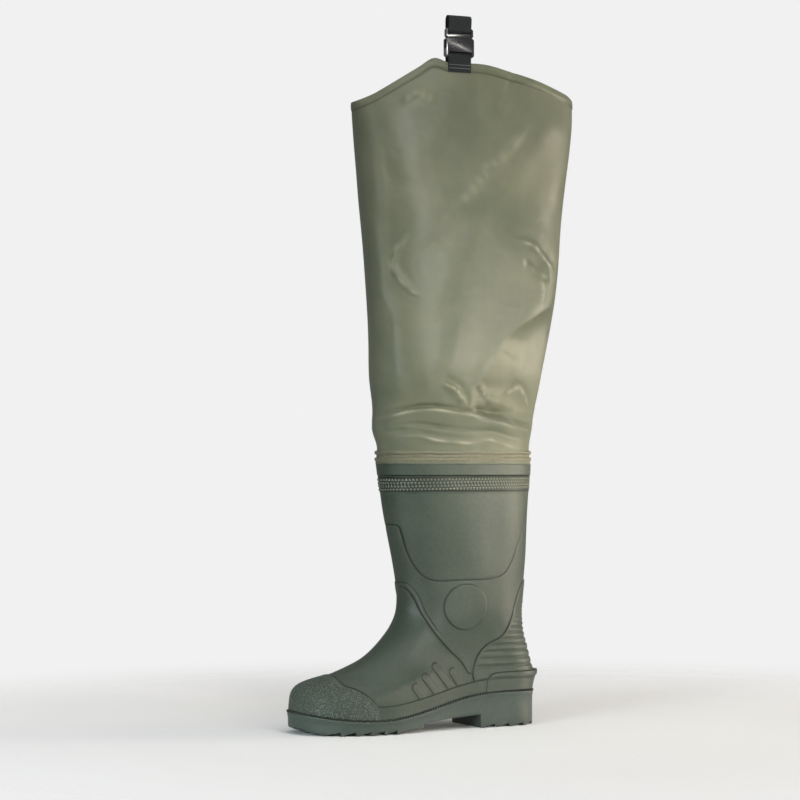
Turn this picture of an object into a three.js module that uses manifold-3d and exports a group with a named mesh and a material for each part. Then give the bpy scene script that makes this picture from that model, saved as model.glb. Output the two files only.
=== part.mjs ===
// Hip wader, left boot: a moulded boot with a thin coated-cloth leg, a welded joint band,
// and a webbing strap with a fastened buckle at the outer peak of the leg.
// Millimetres, +X towards the toe, +Y to the wearer's left (outer side), +Z up, floor at z = 0.
// The origin is the middle of the flat pad under the heel.

import * as THREE from 'three';
import { mergeVertices } from 'three/addons/utils/BufferGeometryUtils.js';
import Module from 'manifold-3d';

const wasm = await Module();
wasm.setup();

// Driving dimensions of the boot
const soleLength = 305;
const heelToBack = 39; // from the middle of the heel pad to the back of the sole
const ballWidth = 110; // across the sole at the ball
const heelWidth = 76; // across the sole at the heel
const ankleWidth = 90;
const shaftWidth = 109;
const bootHeight = 303; // floor to the top of the collar
const bootWall = 2.5;
const weltOverhang = 1.8; // sole beyond the upper
const heelHeight = 40.5; // sole thickness at the heel
const foreThickness = 16; // sole thickness at the ball
const toeLift = 9; // rise of the joint line at the toe
const gap = 0.3; // between pieces that touch

// Driving dimensions of the steps on the boot
const capStep = 1.2;
const foxingHeight = 16;
const foxingStep = 0.8;
const cupHeight = 23;
const cupReach = 40; // from the middle of the heel pad forwards
const spurLength = 5.5;
const panelStep = 1.3;
const ribDepth = 1;
const ribPitch = 7.2;
const ribTaper = 0.93; // each rib against the one below it
const ribCount = 12;
const discRadius = 26;
const discStep = 0.8;
const beadStep = 1;
const beadWidth = 5;
const barStep = 1;
const barWidth = 13;
const collarStep = 0.9;
const reliefStep = 0.5;
const reliefTop = 15; // below the top of the collar
const reliefHeight = 15.5;
const collarHeight = 13;

// Driving dimensions of the sole tread
const lugDepth = 5.2;
const lugPitch = 16;
const lugReach = 26; // from the sole edge inwards
const heelLugDepth = 3.6;
const heelLugPitch = 19;
const heelLugReach = 19;
const heelLength = 85; // back of the sole to the breast of the heel
const archRise = 15.5;
const channelWidth = 4.5;
const channelDepth = 3.4;
const padWidth = 36; // middle strip that stays flat
const padLength = 36;

// Driving dimensions of the cloth leg
const legPeak = 763; // floor to the highest point of the outer panel
const peakShare = 0.72; // of the rim, from the back fold to the front fold
const legDepth = 290; // front fold to back fold at the rim
const legWidth = 97; // outer panel to inner panel at the rim
const legWall = 1;
const legFlare = 26; // height over which the leg leaves the collar's shape
const hemWidth = 10;
const hemStep = 0.6;
const spigotHeight = 13; // collar tongue that the leg is welded to
const spigotInset = 2.3;
const spigotWall = 2;
const bandWall = 1.3;
const bandHeight = 14;
const bandBead = 1;

// Driving dimensions of the insole
const insoleThickness = 3;
const insoleClearance = 0.5; // to the upper's wall and to the curved sole

// Driving dimensions of the strap and the buckle, at the outer peak
const strapPlace = 0.614; // share of the rim from the back fold to the front fold
const strapWidth = 28;
const strapThickness = 1.4;
const strapSlant = 0.3;
const strapInside = 75; // length below the rim
const strapLoop = 54; // top of the belt loop above the rim
const tabDrop = 11; // below the rim, outside
const tabInside = 22; // below the rim, inside
const barRadius = 2;
const buckleWidth = 34;
const buckleThickness = 9;
const buckleFoot = 6; // buckle's lower end above the rim
const buckleHeight = 22;
const prongHeight = 10.5; // prong piece above the buckle's body

// Derived places along the sole
const soleBack = -heelToBack;
const soleFront = soleLength - heelToBack;
const alongSole = (share) => soleBack + soleLength * share;

// Facets around the boot and the leg, and the shortest edge that a cut leaves
const shortestEdge = 0.25;
const columns = 36;

const clamp = (value, low, high) => Math.min(high, Math.max(low, value));
const mix = (a, b, t) => a + (b - a) * t;
const smooth = (from, to, value) => {
  const t = clamp((value - from) / (to - from), 0, 1);
  return t * t * (3 - 2 * t);
};

// Smooth curve through the rows of a table, read by its first column
function curve(rows, column, at) {
  const last = rows.length - 1;
  if (at <= rows[0][0]) return rows[0][column];
  if (at >= rows[last][0]) return rows[last][column];
  let i = 0;
  while (at > rows[i + 1][0]) i += 1;
  const slope = (k) => {
    const before = rows[Math.max(k - 1, 0)];
    const after = rows[Math.min(k + 1, last)];
    return (after[column] - before[column]) / (after[0] - before[0]);
  };
  const span = rows[i + 1][0] - rows[i][0];
  const t = (at - rows[i][0]) / span;
  const a = rows[i][column];
  const b = rows[i + 1][column];
  const rise = 2 * t ** 3 - 3 * t ** 2 + 1;
  return rise * a + (1 - rise) * b
    + (t ** 3 - 2 * t ** 2 + t) * span * slope(i)
    + (t ** 3 - t ** 2) * span * slope(i + 1);
}

// Sole plan, by share of the sole length: half width and middle line,
// as shares of half the ball width
const planRows = [
  // share, half width, middle
  [0, heelWidth / ballWidth * 0.98, 0],
  [0.15, heelWidth / ballWidth * 0.97, 0.01],
  [0.3, heelWidth / ballWidth * 0.92, 0.045],
  [0.42, heelWidth / ballWidth * 0.96, 0.08],
  [0.55, 0.78, 0.09],
  [0.65, 0.91, 0.055],
  [0.74, 0.985, -0.01],
  [0.82, 1, -0.06],
  [0.9, 1, -0.12],
  [1, 1, -0.18],
];

// Boot sections, by level from the joint (0) to the collar (1): back and front as shares of the
// sole length, lengths of the round nose and tail as shares of it, half width of the ankle and
// shaft as a share from ankle width (0) to shaft width (1)
const bootRows = [
  // level, back, front, nose, tail, width
  [0, 0, 1, 0.25, 0.12, -0.7],
  [0.035, -0.001, 0.997, 0.25, 0.122, -0.7],
  [0.075, -0.004, 0.991, 0.26, 0.126, -0.68],
  [0.105, 0, 0.976, 0.31, 0.132, -0.66],
  [0.13, 0.006, 0.946, 0.4, 0.14, -0.62],
  [0.15, 0.01, 0.905, 0.48, 0.148, -0.57],
  [0.17, 0.015, 0.85, 0.51, 0.155, -0.52],
  [0.195, 0.02, 0.793, 0.49, 0.165, -0.45],
  [0.225, 0.028, 0.735, 0.43, 0.18, -0.36],
  [0.26, 0.035, 0.685, 0.36, 0.2, -0.26],
  [0.3, 0.038, 0.639, 0.31, 0.225, -0.14],
  [0.345, 0.039, 0.601, 0.28, 0.248, -0.04],
  [0.4, 0.036, 0.577, 0.27, 0.265, 0],
  [0.48, 0.03, 0.573, 0.271, 0.271, 0.12],
  [0.6, 0.022, 0.588, 0.283, 0.283, 0.35],
  [0.72, 0.018, 0.609, 0.295, 0.295, 0.6],
  [0.84, 0.0135, 0.631, 0.308, 0.308, 0.84],
  [1, 0.005, 0.655, 0.325, 0.325, 1],
];

// Leg sections, by share of the height from the collar to the peak: middle and half depth as
// shares of half the rim depth, half width as a share of half the rim width
const legRows = [
  // share, middle, half depth, half width
  [0, 0.425, 0.684, 1.12],
  [0.03, 0.428, 0.69, 1.13],
  [0.06, 0.438, 0.695, 1.16],
  [0.1, 0.432, 0.7, 1.15],
  [0.15, 0.418, 0.706, 1.14],
  [0.22, 0.405, 0.738, 1.14],
  [0.3, 0.378, 0.768, 1.14],
  [0.4, 0.358, 0.812, 1.12],
  [0.5, 0.35, 0.847, 1.1],
  [0.6, 0.348, 0.879, 1.08],
  [0.7, 0.342, 0.915, 1.06],
  [0.82, 0.335, 0.962, 1.03],
  [0.92, 0.331, 0.996, 1],
  [1, 0.331, 1, 1],
];

// Rim of the leg, by share from the back fold (0) to the front fold (1): height of the outer
// and of the inner panel above the back fold, as shares of the leg's height over the collar
const rimRows = [
  // share, outer, inner
  [0, -0.068, -0.068],
  [0.05, -0.058, -0.082],
  [0.12, -0.05, -0.098],
  [0.225, -0.036, -0.113],
  [0.37, -0.02, -0.13],
  [0.49, -0.008, -0.136],
  [0.6, -0.008, -0.136],
  [0.66, -0.009, -0.134],
  [peakShare, 0, -0.131],
  [0.78, -0.024, -0.126],
  [0.88, -0.064, -0.116],
  [0.95, -0.091, -0.108],
  [1, -0.107, -0.107],
];

// Height of the joint between sole and upper
function jointHeight(x) {
  const share = (x - soleBack) / soleLength;
  const rise = 1 - smooth(0.19, 0.72, share);
  const toe = clamp((share - 0.72) / 0.28, 0, 1.05);
  const back = clamp(1 - share / 0.12, 0, 1);
  return foreThickness + (heelHeight - foreThickness) * rise + toeLift * toe ** 2.4 - 2 * back ** 2;
}

const roundEnd = (distance, length) => {
  const t = clamp(1 - distance / length, 0, 1);
  return Math.sqrt(1 - t * t);
};

// Point of the boot's surface: turn runs from the back (0) along the outer side to the toe (0.5)
// and back along the inner side; grow moves the section's edge outwards
function bootPoint(turn, level, grow = 0) {
  const angle = turn * 2 * Math.PI;
  const at = (column) => curve(bootRows, column, clamp(level, 0, 1));
  const back = alongSole(at(1)) + weltOverhang - grow;
  const front = alongSole(at(2)) - weltOverhang + grow;
  const along = (1 - Math.cos(angle)) / 2;
  const x = mix(back, front, along);
  const share = (x - soleBack) / soleLength;
  const shaft = smooth(0.07, 0.42, level);
  const plan = curve(planRows, 1, share) * ballWidth / 2 - weltOverhang;
  const leg = mix(ankleWidth, shaftWidth, at(5)) / 2;
  const body = mix(plan * (1 - 0.25 * clamp(level, 0, 1)), leg, shaft) + grow;
  const nose = roundEnd(front - x, at(3) * soleLength);
  const tail = roundEnd(x - back, at(4) * soleLength);
  const middle = curve(planRows, 2, share) * ballWidth / 2 * (1 - shaft);
  const side = Math.sin(angle) < 0 ? -1 : 1;
  const low = Math.max(1 - level, 0);
  const z = (jointHeight(x) + gap) * low + bootHeight * (level > 1 ? level : Math.min(level, 1));
  return new THREE.Vector3(x, middle + side * body * nose * tail, z);
}

// The same surface moved out along its normal
function bootOffset(turn, level, offset) {
  const step = 0.004;
  const around = bootPoint(turn + step, level).sub(bootPoint(turn - step, level));
  const low = clamp(level - step, 0, 1 - 2 * step);
  const up = bootPoint(turn, low + 2 * step).sub(bootPoint(turn, low));
  const normal = up.cross(around).normalize();
  if (level < 0.03) normal.setZ(0).normalize();
  const point = bootPoint(turn, level);
  return point.addScaledVector(normal, offset);
}

// Closed solid from rings of points: the rings are joined, and the ends are closed by strips
function solidFromRings(rings) {
  const count = rings[0].length;
  const points = rings.flat();
  const index = [];
  for (let r = 0; r < rings.length - 1; r += 1) {
    for (let i = 0; i < count; i += 1) {
      const a = r * count + i;
      const b = r * count + (i + 1) % count;
      index.push(a, b + count, b, a, a + count, b + count);
    }
  }
  const top = (rings.length - 1) * count;
  for (let i = 0; i < count / 2; i += 1) {
    const j = (count - i) % count;
    const near = i + 1;
    const far = count - i - 1;
    for (const [start, flip] of [[0, false], [top, true]]) {
      const quad = [start + i, start + near, start + far, start + j];
      const pairs = [[quad[0], quad[1], quad[2]], [quad[0], quad[2], quad[3]]];
      for (const [a, b, c] of pairs) {
        if (a === b || b === c || a === c) continue;
        index.push(...(flip ? [a, c, b] : [a, b, c]));
      }
    }
  }
  return toManifold(points.flatMap((p) => [p.x, p.y, p.z]), index);
}

function toManifold(positions, index) {
  const geometry = new THREE.BufferGeometry();
  geometry.setAttribute('position', new THREE.BufferAttribute(new Float32Array(positions), 3));
  geometry.setIndex(index);
  return fromGeometry(geometry);
}

function fromGeometry(source) {
  const bare = source.clone();
  bare.deleteAttribute('normal');
  bare.deleteAttribute('uv');
  const merged = mergeVertices(bare, 1e-4);
  const solid = new wasm.Manifold(new wasm.Mesh({
    numProp: 3,
    vertProperties: new Float32Array(merged.attributes.position.array),
    triVerts: new Uint32Array(merged.index.array),
  }));
  return solid;
}

// Triangles of a cut solid, with the slivers along its cuts closed up: an edge shorter than the
// limit is drawn into one point wherever the surface stays closed and no face turns over
function closeSlivers(points, index, shortest) {
  let faces = [];
  for (let i = 0; i < index.length; i += 3) faces.push([index[i], index[i + 1], index[i + 2]]);
  const around = points.map(() => new Set());
  faces.forEach((face, f) => face.forEach((v) => around[v].add(f)));
  const neighbours = (v) => new Set([...around[v]].flatMap((f) => faces[f]).filter((w) => w !== v));
  const normal = (face, from, to) => {
    const [a, b, c] = face.map((v) => points[v === from ? to : v]);
    return new THREE.Vector3().subVectors(b, a).cross(new THREE.Vector3().subVectors(c, a));
  };
  const draw = (keep, drop) => {
    const shared = [...neighbours(keep)].filter((v) => neighbours(drop).has(v));
    if (shared.length !== 2) return false;
    const moved = [...around[drop]].filter((f) => !faces[f].includes(keep));
    const flips = moved.some((f) => {
      const before = normal(faces[f], -1, -1);
      const after = normal(faces[f], drop, keep);
      return after.length() < 1e-3 || (before.length() > 1e-2 && before.dot(after) < 0);
    });
    if (flips) return false;
    for (const f of [...around[drop]]) {
      if (faces[f].includes(keep)) {
        faces[f].forEach((v) => around[v].delete(f));
        faces[f] = null;
      } else {
        faces[f] = faces[f].map((v) => (v === drop ? keep : v));
        around[keep].add(f);
      }
    }
    around[drop].clear();
    return true;
  };
  for (let pass = 0; pass < 4; pass += 1) {
    for (let f = 0; f < faces.length; f += 1) {
      for (let k = 0; k < 3 && faces[f]; k += 1) {
        const a = faces[f][k];
        const b = faces[f][(k + 1) % 3];
        if (points[a].distanceTo(points[b]) < shortest && !draw(a, b)) draw(b, a);
      }
    }
  }
  faces = faces.filter(Boolean);
  return faces.flat();
}

function toGeometry(solid) {
  const mesh = solid.getMesh();
  const points = [];
  for (let i = 0; i < mesh.vertProperties.length; i += 3) {
    points.push(new THREE.Vector3().fromArray(mesh.vertProperties, i));
  }
  const geometry = new THREE.BufferGeometry().setFromPoints(points);
  geometry.setIndex(closeSlivers(points, mesh.triVerts, shortestEdge));
  geometry.computeVertexNormals();
  return geometry;
}

// Prism of a side outline, given as [x, z] points, from one y to another
function sidePrism(outline, fromY, toY) {
  const shape = new THREE.Shape(outline.map(([x, z]) => new THREE.Vector2(x, z)));
  const geometry = new THREE.ExtrudeGeometry(shape, { depth: toY - fromY, bevelEnabled: false });
  geometry.rotateX(Math.PI / 2);
  geometry.translate(0, toY, 0);
  return fromGeometry(geometry);
}

const joined = (solids) => solids.reduce((sum, solid) => sum.add(solid));

// Side line through a few points, smoothed
function sideLine(points, steps) {
  const line = new THREE.CatmullRomCurve3(points.map(([x, z]) => new THREE.Vector3(x, 0, z)));
  return line.getPoints(steps).map((p) => [p.x, p.z]);
}

// Turns of the columns, one of them moved onto the rim's peak on each side
const peakTurn = Math.acos(1 - 2 * peakShare) / (2 * Math.PI);
const turns = Array.from({ length: columns }, (_, i) => {
  if (i === Math.round(peakTurn * columns)) return peakTurn;
  if (i === columns - Math.round(peakTurn * columns)) return 1 - peakTurn;
  return i / columns;
});
const belowJoint = -0.03; // the forms run past the joint and are then cut along it
const bootLevels = [belowJoint, 0.005, 0.035, 0.07, 0.1, 0.122, 0.14, 0.156, 0.172, 0.192,
  0.218, 0.25, 0.29, 0.335, 0.39, 0.47, 0.58, 0.74];

// Levels of the bands under the collar
const levelAt = (z) => (z - 25) / (bootHeight - 25);
const reliefLow = levelAt(bootHeight - reliefTop - reliefHeight);
const reliefHigh = levelAt(bootHeight - reliefTop);
const collarLow = levelAt(bootHeight - collarHeight);
const spigotLevel = (bootHeight + spigotHeight) / bootHeight;

// Solid that fills the boot's outer surface, moved out by an offset
function bootForm(offset) {
  const ring = (level) => turns.map((turn) => bootOffset(turn, level, offset));
  return solidFromRings([...bootLevels, reliefLow, 1].map(ring));
}

// Outer solid with the bands under the collar and the tongue that the leg is welded to
function bootOuter() {
  const ring = (level, offset) => turns.map((turn) => bootOffset(turn, level, offset));
  const rings = bootLevels.map((level) => ring(level, 0));
  const stepped = [
    [reliefLow, 0], [reliefLow + 0.002, reliefStep], [reliefHigh, reliefStep],
    [reliefHigh + 0.002, 0], [collarLow, 0], [collarLow + 0.003, collarStep], [1, collarStep],
    [1.0002, -spigotInset], [spigotLevel, -spigotInset],
  ];
  return solidFromRings([...rings, ...stepped.map(([level, offset]) => ring(level, offset))]);
}

// Solid of the space inside the boot, run out through its top and bottom
function bootInner() {
  const wall = (level) => mix(bootWall, spigotInset + spigotWall, smooth(0.93, 0.99, level));
  const ring = (level) => turns.map((turn) => bootOffset(turn, level, -wall(level)));
  const below = ring(2 * belowJoint);
  const top = ring(1).map((p) => p.clone().setZ(bootHeight + spigotHeight + 5));
  const levels = bootLevels.filter((level, i) => level > 0.2 || i % 2 === 1);
  return solidFromRings([below, ...levels.map(ring), ring(0.93), ring(0.99), top]);
}

// Everything under the joint surface, raised by a lift
function underJoint(lift) {
  const steps = 26;
  const low = soleBack - 12;
  const high = soleFront + 12;
  const top = Array.from({ length: steps + 1 }, (_, i) => {
    const x = mix(low, high, i / steps);
    return [x, jointHeight(x) + lift];
  });
  return sidePrism([[low, -20], [high, -20], ...top.reverse()], -ballWidth, ballWidth);
}

// Side outlines on the boot, from the boot's own sizes
const onSide = (rows) => rows.map(([x, z]) => [alongSole(x), bootHeight * z]);

function toeCap(skin) {
  const edge = sideLine(onSide([[0.86, 0.28], [0.845, 0.192], [0.815, 0.174], [0.782, 0.152],
    [0.76, 0.13], [0.745, 0.105], [0.735, 0.05], [0.733, -0.02]]), 8);
  const outline = [...edge, [soleFront + 20, -6], [soleFront + 20, bootHeight * 0.28]];
  return skin(capStep).intersect(sidePrism(outline, -ballWidth, ballWidth));
}

function foxing(skin) {
  const steps = 9;
  const from = soleBack + 0.14 * soleLength;
  const to = alongSole(0.75);
  const top = Array.from({ length: steps + 1 }, (_, i) => {
    const x = mix(from, to, i / steps);
    return [x, jointHeight(x) + foxingHeight];
  });
  const outline = [[soleBack - 20, 0], [to, 0], ...top.reverse(),
    [soleBack - 20, jointHeight(from) + foxingHeight]];
  return skin(foxingStep).intersect(sidePrism(outline, -ballWidth, ballWidth));
}

function heelCup() {
  const low = jointHeight(0);
  const high = low + cupHeight;
  const ring = (z, spur, offset) => turns.map((turn) => {
    const level = (z - low) / (bootHeight - low);
    const point = bootOffset(turn, level, offset);
    const behind = clamp((0 - point.x) / heelToBack, 0, 1);
    return point.setX(point.x - spur * behind ** 2);
  });
  const outer = solidFromRings([
    ring(low - 8, 0, foxingStep + 0.4), ring(high - 3, spurLength, foxingStep + 0.4),
    ring(high, spurLength, foxingStep + 0.4), ring(high + 0.6, 0, foxingStep + 0.4),
  ]);
  const edge = sideLine([[cupReach, 0], [cupReach * 0.975, low], [cupReach * 0.9, high - 8],
    [cupReach * 0.7, high - 2], [cupReach * 0.2, high], [soleBack, high]], 9);
  const outline = [...edge, [soleBack - 20, high], [soleBack - 20, 0]];
  return outer.intersect(sidePrism(outline, -ballWidth, ballWidth)).subtract(bootForm(-1));
}

function ribPanel() {
  const front = sideLine(onSide([[0.02, 0.56], [0.075, 0.545], [0.11, 0.5], [0.127, 0.46],
    [0.15, 0.4], [0.19, 0.348], [0.25, 0.318], [0.288, 0.283], [0.308, 0.24], [0.314, 0.2],
    [0.3, 0.16]]), 10);
  const outline = [...front, [soleBack - 20, bootHeight * 0.16], [soleBack - 20, bootHeight * 0.57]];
  const ring = (level, offset) => turns.map((turn) => bootOffset(turn, level, offset));
  const rings = [ring(belowJoint, panelStep)];
  let level = 0.1;
  for (let i = 0; i < ribCount; i += 1) {
    const pitch = ribPitch / bootHeight * ribTaper ** i;
    rings.push(ring(level, panelStep), ring(level + pitch / 2, panelStep - ribDepth));
    level += pitch;
  }
  rings.push(ring(level, panelStep), ring(0.5, panelStep), ring(0.7, panelStep));
  return solidFromRings(rings).subtract(bootForm(-1))
    .intersect(sidePrism(outline, -ballWidth, ballWidth));
}

function ankleDisc(skin) {
  const centre = [alongSole(0.357), bootHeight * 0.462];
  const outline = Array.from({ length: 20 }, (_, i) => {
    const angle = i / 20 * 2 * Math.PI;
    return [centre[0] + discRadius * Math.cos(angle), centre[1] + discRadius * Math.sin(angle)];
  });
  return skin(discStep).intersect(sidePrism(outline, -ballWidth, ballWidth));
}

// Raised bead from the front of the ankle down to the foxing
function instepBead(skin) {
  const line = sideLine(onSide([[0.585, 0.545], [0.555, 0.545], [0.53, 0.5], [0.505, 0.43],
    [0.47, 0.37], [0.42, 0.315], [0.36, 0.26], [0.325, 0.215]]), 10);
  const shifted = line.map(([x, z], i) => {
    const [ax, az] = line[Math.max(i - 1, 0)];
    const [bx, bz] = line[Math.min(i + 1, line.length - 1)];
    const length = Math.hypot(bx - ax, bz - az);
    return [x + (bz - az) / length * -beadWidth, z - (bx - ax) / length * -beadWidth];
  });
  return skin(beadStep).intersect(sidePrism([...line, ...shifted.reverse()], -ballWidth, ballWidth));
}

// Raised panel of the shaft above a line that dips between front and back
function shaftPanel(skin) {
  const line = sideLine(onSide([[0.7, 0.772], [0.6, 0.77], [0.585, 0.735], [0.57, 0.68],
    [0.55, 0.63], [0.515, 0.58], [0.47, 0.563], [0.37, 0.564], [0.25, 0.568], [0.19, 0.585],
    [0.15, 0.63], [0.12, 0.69], [0.095, 0.76]]), 14);
  const top = bootHeight - reliefTop - reliefHeight - 1.5;
  const outline = [...line, [alongSole(0.075), top], [alongSole(0.7), top]];
  return skin(reliefStep).intersect(sidePrism(outline, -ballWidth, ballWidth));
}

// Slanted flex bars with round tops above the foxing
function flexBars(skin) {
  const bars = [[0.545, 0.125, 0.155], [0.475, 0.15, 0.195], [0.405, 0.165, 0.225]];
  const slant = 0.55;
  const solids = bars.map(([x, low, high]) => {
    const foot = [alongSole(x), bootHeight * low - 6];
    const tall = bootHeight * (high - low) + 10;
    const half = barWidth / 2;
    const arc = Array.from({ length: 7 }, (_, i) => {
      const angle = Math.PI * i / 6;
      return [half * Math.cos(angle), tall + half * Math.sin(angle)];
    });
    const outline = [[half, 0], ...arc, [-half, 0]];
    return sidePrism(outline.map(([u, v]) => [foot[0] + u + v * slant, foot[1] + v]), -ballWidth, ballWidth);
  });
  return skin(barStep).intersect(joined(solids));
}

function bootUpper() {
  const inside = bootForm(-1);
  const skin = (offset) => bootForm(offset).subtract(inside);
  const body = joined([bootOuter(), toeCap(skin), foxing(skin), heelCup(), ribPanel(),
    ankleDisc(skin), instepBead(skin), shaftPanel(skin), flexBars(skin)]);
  return body.subtract(bootInner()).subtract(underJoint(gap));
}

// Underside of the sole before the tread is cut
function soleBottom(x) {
  const toe = clamp((x - alongSole(0.84)) / (soleFront - alongSole(0.84)), 0, 1.1);
  return 11 * toe ** 3.5;
}

function outsole() {
  const ring = (grow, drop) => turns.map((turn) => {
    const point = bootPoint(turn, 0, weltOverhang + grow);
    const top = jointHeight(point.x);
    return point.setZ(drop === null ? soleBottom(point.x) : top - drop);
  });
  const block = solidFromRings([
    ring(-1.6, null), ring(-0.8, 10), ring(-0.8, 5.4), ring(-1.4, 5), ring(-1.4, 4), ring(0, 3.6),
    ring(0, -5),
  ]).intersect(underJoint(0));
  const breast = alongSole(heelLength / soleLength);
  const foreRear = alongSole(0.61);
  const arch = sidePrism([[breast, -5], [breast, archRise], [alongSole(0.42), archRise * 0.84],
    [alongSole(0.54), archRise * 0.6], [alongSole(0.545), lugDepth * 0.87],
    [foreRear - 2, lugDepth * 0.83], [foreRear, -5]], -ballWidth, ballWidth);
  const cuts = [arch];

  const edge = ballWidth / 2;
  const tooth = (x, pitch, depth, fromY, toY) => {
    const lift = soleBottom(x) + depth;
    const drop = soleBottom(x + pitch * 0.8) - 0.6;
    return sidePrism([[x, -6], [x, lift], [x + pitch * 0.8, drop], [x + pitch * 0.8, -6]], fromY, toY);
  };
  for (let x = foreRear; x < soleFront - lugPitch; x += lugPitch) {
    cuts.push(tooth(x, lugPitch, lugDepth, edge - lugReach, edge + 10));
    cuts.push(tooth(x, lugPitch, lugDepth, -edge - 10, -edge + lugReach));
  }
  const heelEdge = heelWidth / 2;
  for (let x = breast - heelLugPitch; x > soleBack + 2; x -= heelLugPitch) {
    cuts.push(tooth(x, heelLugPitch, heelLugDepth, heelEdge - heelLugReach, heelEdge + 10));
    cuts.push(tooth(x, heelLugPitch, heelLugDepth, -heelEdge - 10, -heelEdge + heelLugReach));
  }
  // Cross grooves in the middle strip, kept clear of the two flat pads
  const groove = (x) => sidePrism([[x, -6], [x, channelDepth], [x + channelWidth, channelDepth],
    [x + channelWidth, -6]], -padWidth / 2 - 2, padWidth / 2 + 2);
  const ballPad = alongSole(0.728);
  for (const side of [-1, 1]) {
    for (let i = 0; i < 2; i += 1) {
      const x = ballPad + side * (padLength / 2 + i * lugPitch) - (side < 0 ? channelWidth : 0);
      cuts.push(groove(x));
    }
  }
  cuts.push(groove(heelToBack - 12 - channelWidth));
  cuts.push(groove(-padLength / 2 - channelWidth));
  return block.subtract(joined(cuts));
}

// Insole: a sheet on the sole, clear of the upper's wall
function insole() {
  const ring = (level) => turns.map((turn) => bootOffset(turn, level, -bootWall - insoleClearance));
  return solidFromRings([ring(belowJoint), ring(0.02), ring(0.04)])
    .intersect(underJoint(insoleClearance + insoleThickness))
    .subtract(underJoint(insoleClearance));
}

// Cloth leg
const legHeight = legPeak - bootHeight;

function legPoint(turn, share, offset = 0) {
  const angle = turn * 2 * Math.PI;
  const z = bootHeight + legHeight * share;
  const at = (column) => curve(legRows, column, share);
  const flat = smooth(0.55, 1, share) * 0.22;
  const middle = at(1) * legDepth / 2;
  const depth = at(2) * legDepth / 2 + offset;
  const width = at(3) * legWidth / 2 + offset;
  const across = Math.abs(Math.sin(angle)) ** (1 + flat) * Math.sign(Math.sin(angle));
  return new THREE.Vector3(middle - depth * Math.cos(angle), width * across, z);
}

function rimShare(turn) {
  const angle = turn * 2 * Math.PI;
  const along = (1 - Math.cos(angle)) / 2;
  return 1 + curve(rimRows, turn <= 0.5 ? 1 : 2, along);
}

// Collar section carried up: the leg's foot and the joint band follow it
function collarPoint(turn, z, offset) {
  return bootOffset(turn, 1, offset).setZ(z);
}

const legInset = spigotInset - gap - legWall; // from the boot's surface to the leg's outer face

function legRing(turn, share, offset) {
  const rim = rimShare(turn);
  const z = bootHeight + legHeight * rim * share;
  const free = legPoint(turn, rim * share, offset);
  const held = collarPoint(turn, z, offset - legInset);
  const top = bootHeight + spigotHeight + 4;
  const loose = smooth(top, top + legFlare, z);
  return held.lerp(free, loose).setZ(z);
}

function leg() {
  const hem = hemWidth / legHeight;
  const foot = (gap + 3) / legHeight;
  const shares = [foot, 0.03, 0.045, 0.06, 0.08, 0.11, 0.16, 0.23, 0.32, 0.43, 0.56, 0.7, 0.85];
  const ring = (share, offset) => turns.map((turn) => legRing(turn, share, offset));
  const rings = [
    ...shares.map((share) => ring(share, 0)),
    ring(1 - hem, 0), ring(1 - hem + 0.001, hemStep), ring(1, hemStep),
  ];
  const inner = [...shares, 1 - hem].map((share) => ring(share, -legWall));
  const below = inner[0].map((p) => p.clone().setZ(p.z - 5));
  const above = ring(1, -legWall).map((p) => p.clone().setZ(p.z + 5));
  return solidFromRings(rings).subtract(solidFromRings([below, ...inner, ring(1, -legWall), above]));
}

// Welded band with two beads over the leg's lower edge
function jointBand() {
  const low = bootHeight + 1.5;
  const high = low + bandHeight;
  const ring = (z, offset) => turns.map((turn) => collarPoint(turn, z, offset));
  const inner = -legInset + gap;
  const face = inner + bandWall;
  const outer = [
    ring(low, face), ring(low + 2.5, face), ring(low + 4, face + bandBead),
    ring(low + 5.5, face + bandBead), ring(low + 6.5, face), ring(high - 4, face),
    ring(high - 2.5, face + bandBead), ring(high - 1, face + bandBead), ring(high, face),
  ];
  return solidFromRings(outer).subtract(solidFromRings([ring(low - 3, inner), ring(high + 3, inner)]));
}

// Strap, tab and buckle, in a frame of their own: x along the rim towards the toe, y outwards
// from the outer face of the hem, z up from the rim
const strapTurn = Math.acos(1 - 2 * strapPlace) / (2 * Math.PI);
const rimWall = legWall + hemStep;
const seat = gap + 0.25; // the rim is slightly round under the flat webbing
const half = strapThickness / 2;
const barY = -rimWall / 2;

function arc(centreY, centreZ, radius, from, to, steps) {
  return Array.from({ length: steps + 1 }, (_, i) => {
    const angle = mix(from, to, i / steps) * Math.PI;
    return [centreY + radius * Math.cos(angle), centreZ + radius * Math.sin(angle)];
  });
}

// Flat webbing along a line of [y, z] points, as wide as the strap; below the rim it slants
function webbing(points, slant = 0) {
  const left = [];
  const right = [];
  points.forEach((p, i) => {
    const a = points[Math.max(i - 1, 0)];
    const b = points[Math.min(i + 1, points.length - 1)];
    const length = Math.hypot(b[0] - a[0], b[1] - a[1]);
    const across = [-(b[1] - a[1]) / length * half, (b[0] - a[0]) / length * half];
    left.push(new THREE.Vector2(p[0] + across[0], p[1] + across[1]));
    right.push(new THREE.Vector2(p[0] - across[0], p[1] - across[1]));
  });
  const shape = new THREE.Shape([...left, ...right.reverse()]);
  const geometry = new THREE.ExtrudeGeometry(shape, { depth: strapWidth, bevelEnabled: false });
  const position = geometry.attributes.position;
  for (let i = 0; i < position.count; i += 1) {
    const [y, z, x] = [position.getX(i), position.getY(i), position.getZ(i)];
    position.setXYZ(i, x - strapWidth / 2 + slant * Math.max(-z, 0), y, z);
  }
  return fromGeometry(geometry);
}

const tabBarZ = buckleFoot + barRadius;
const strapBarZ = buckleFoot + buckleHeight + gap + prongHeight - barRadius;
const turnRadius = barRadius + gap + half;

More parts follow.
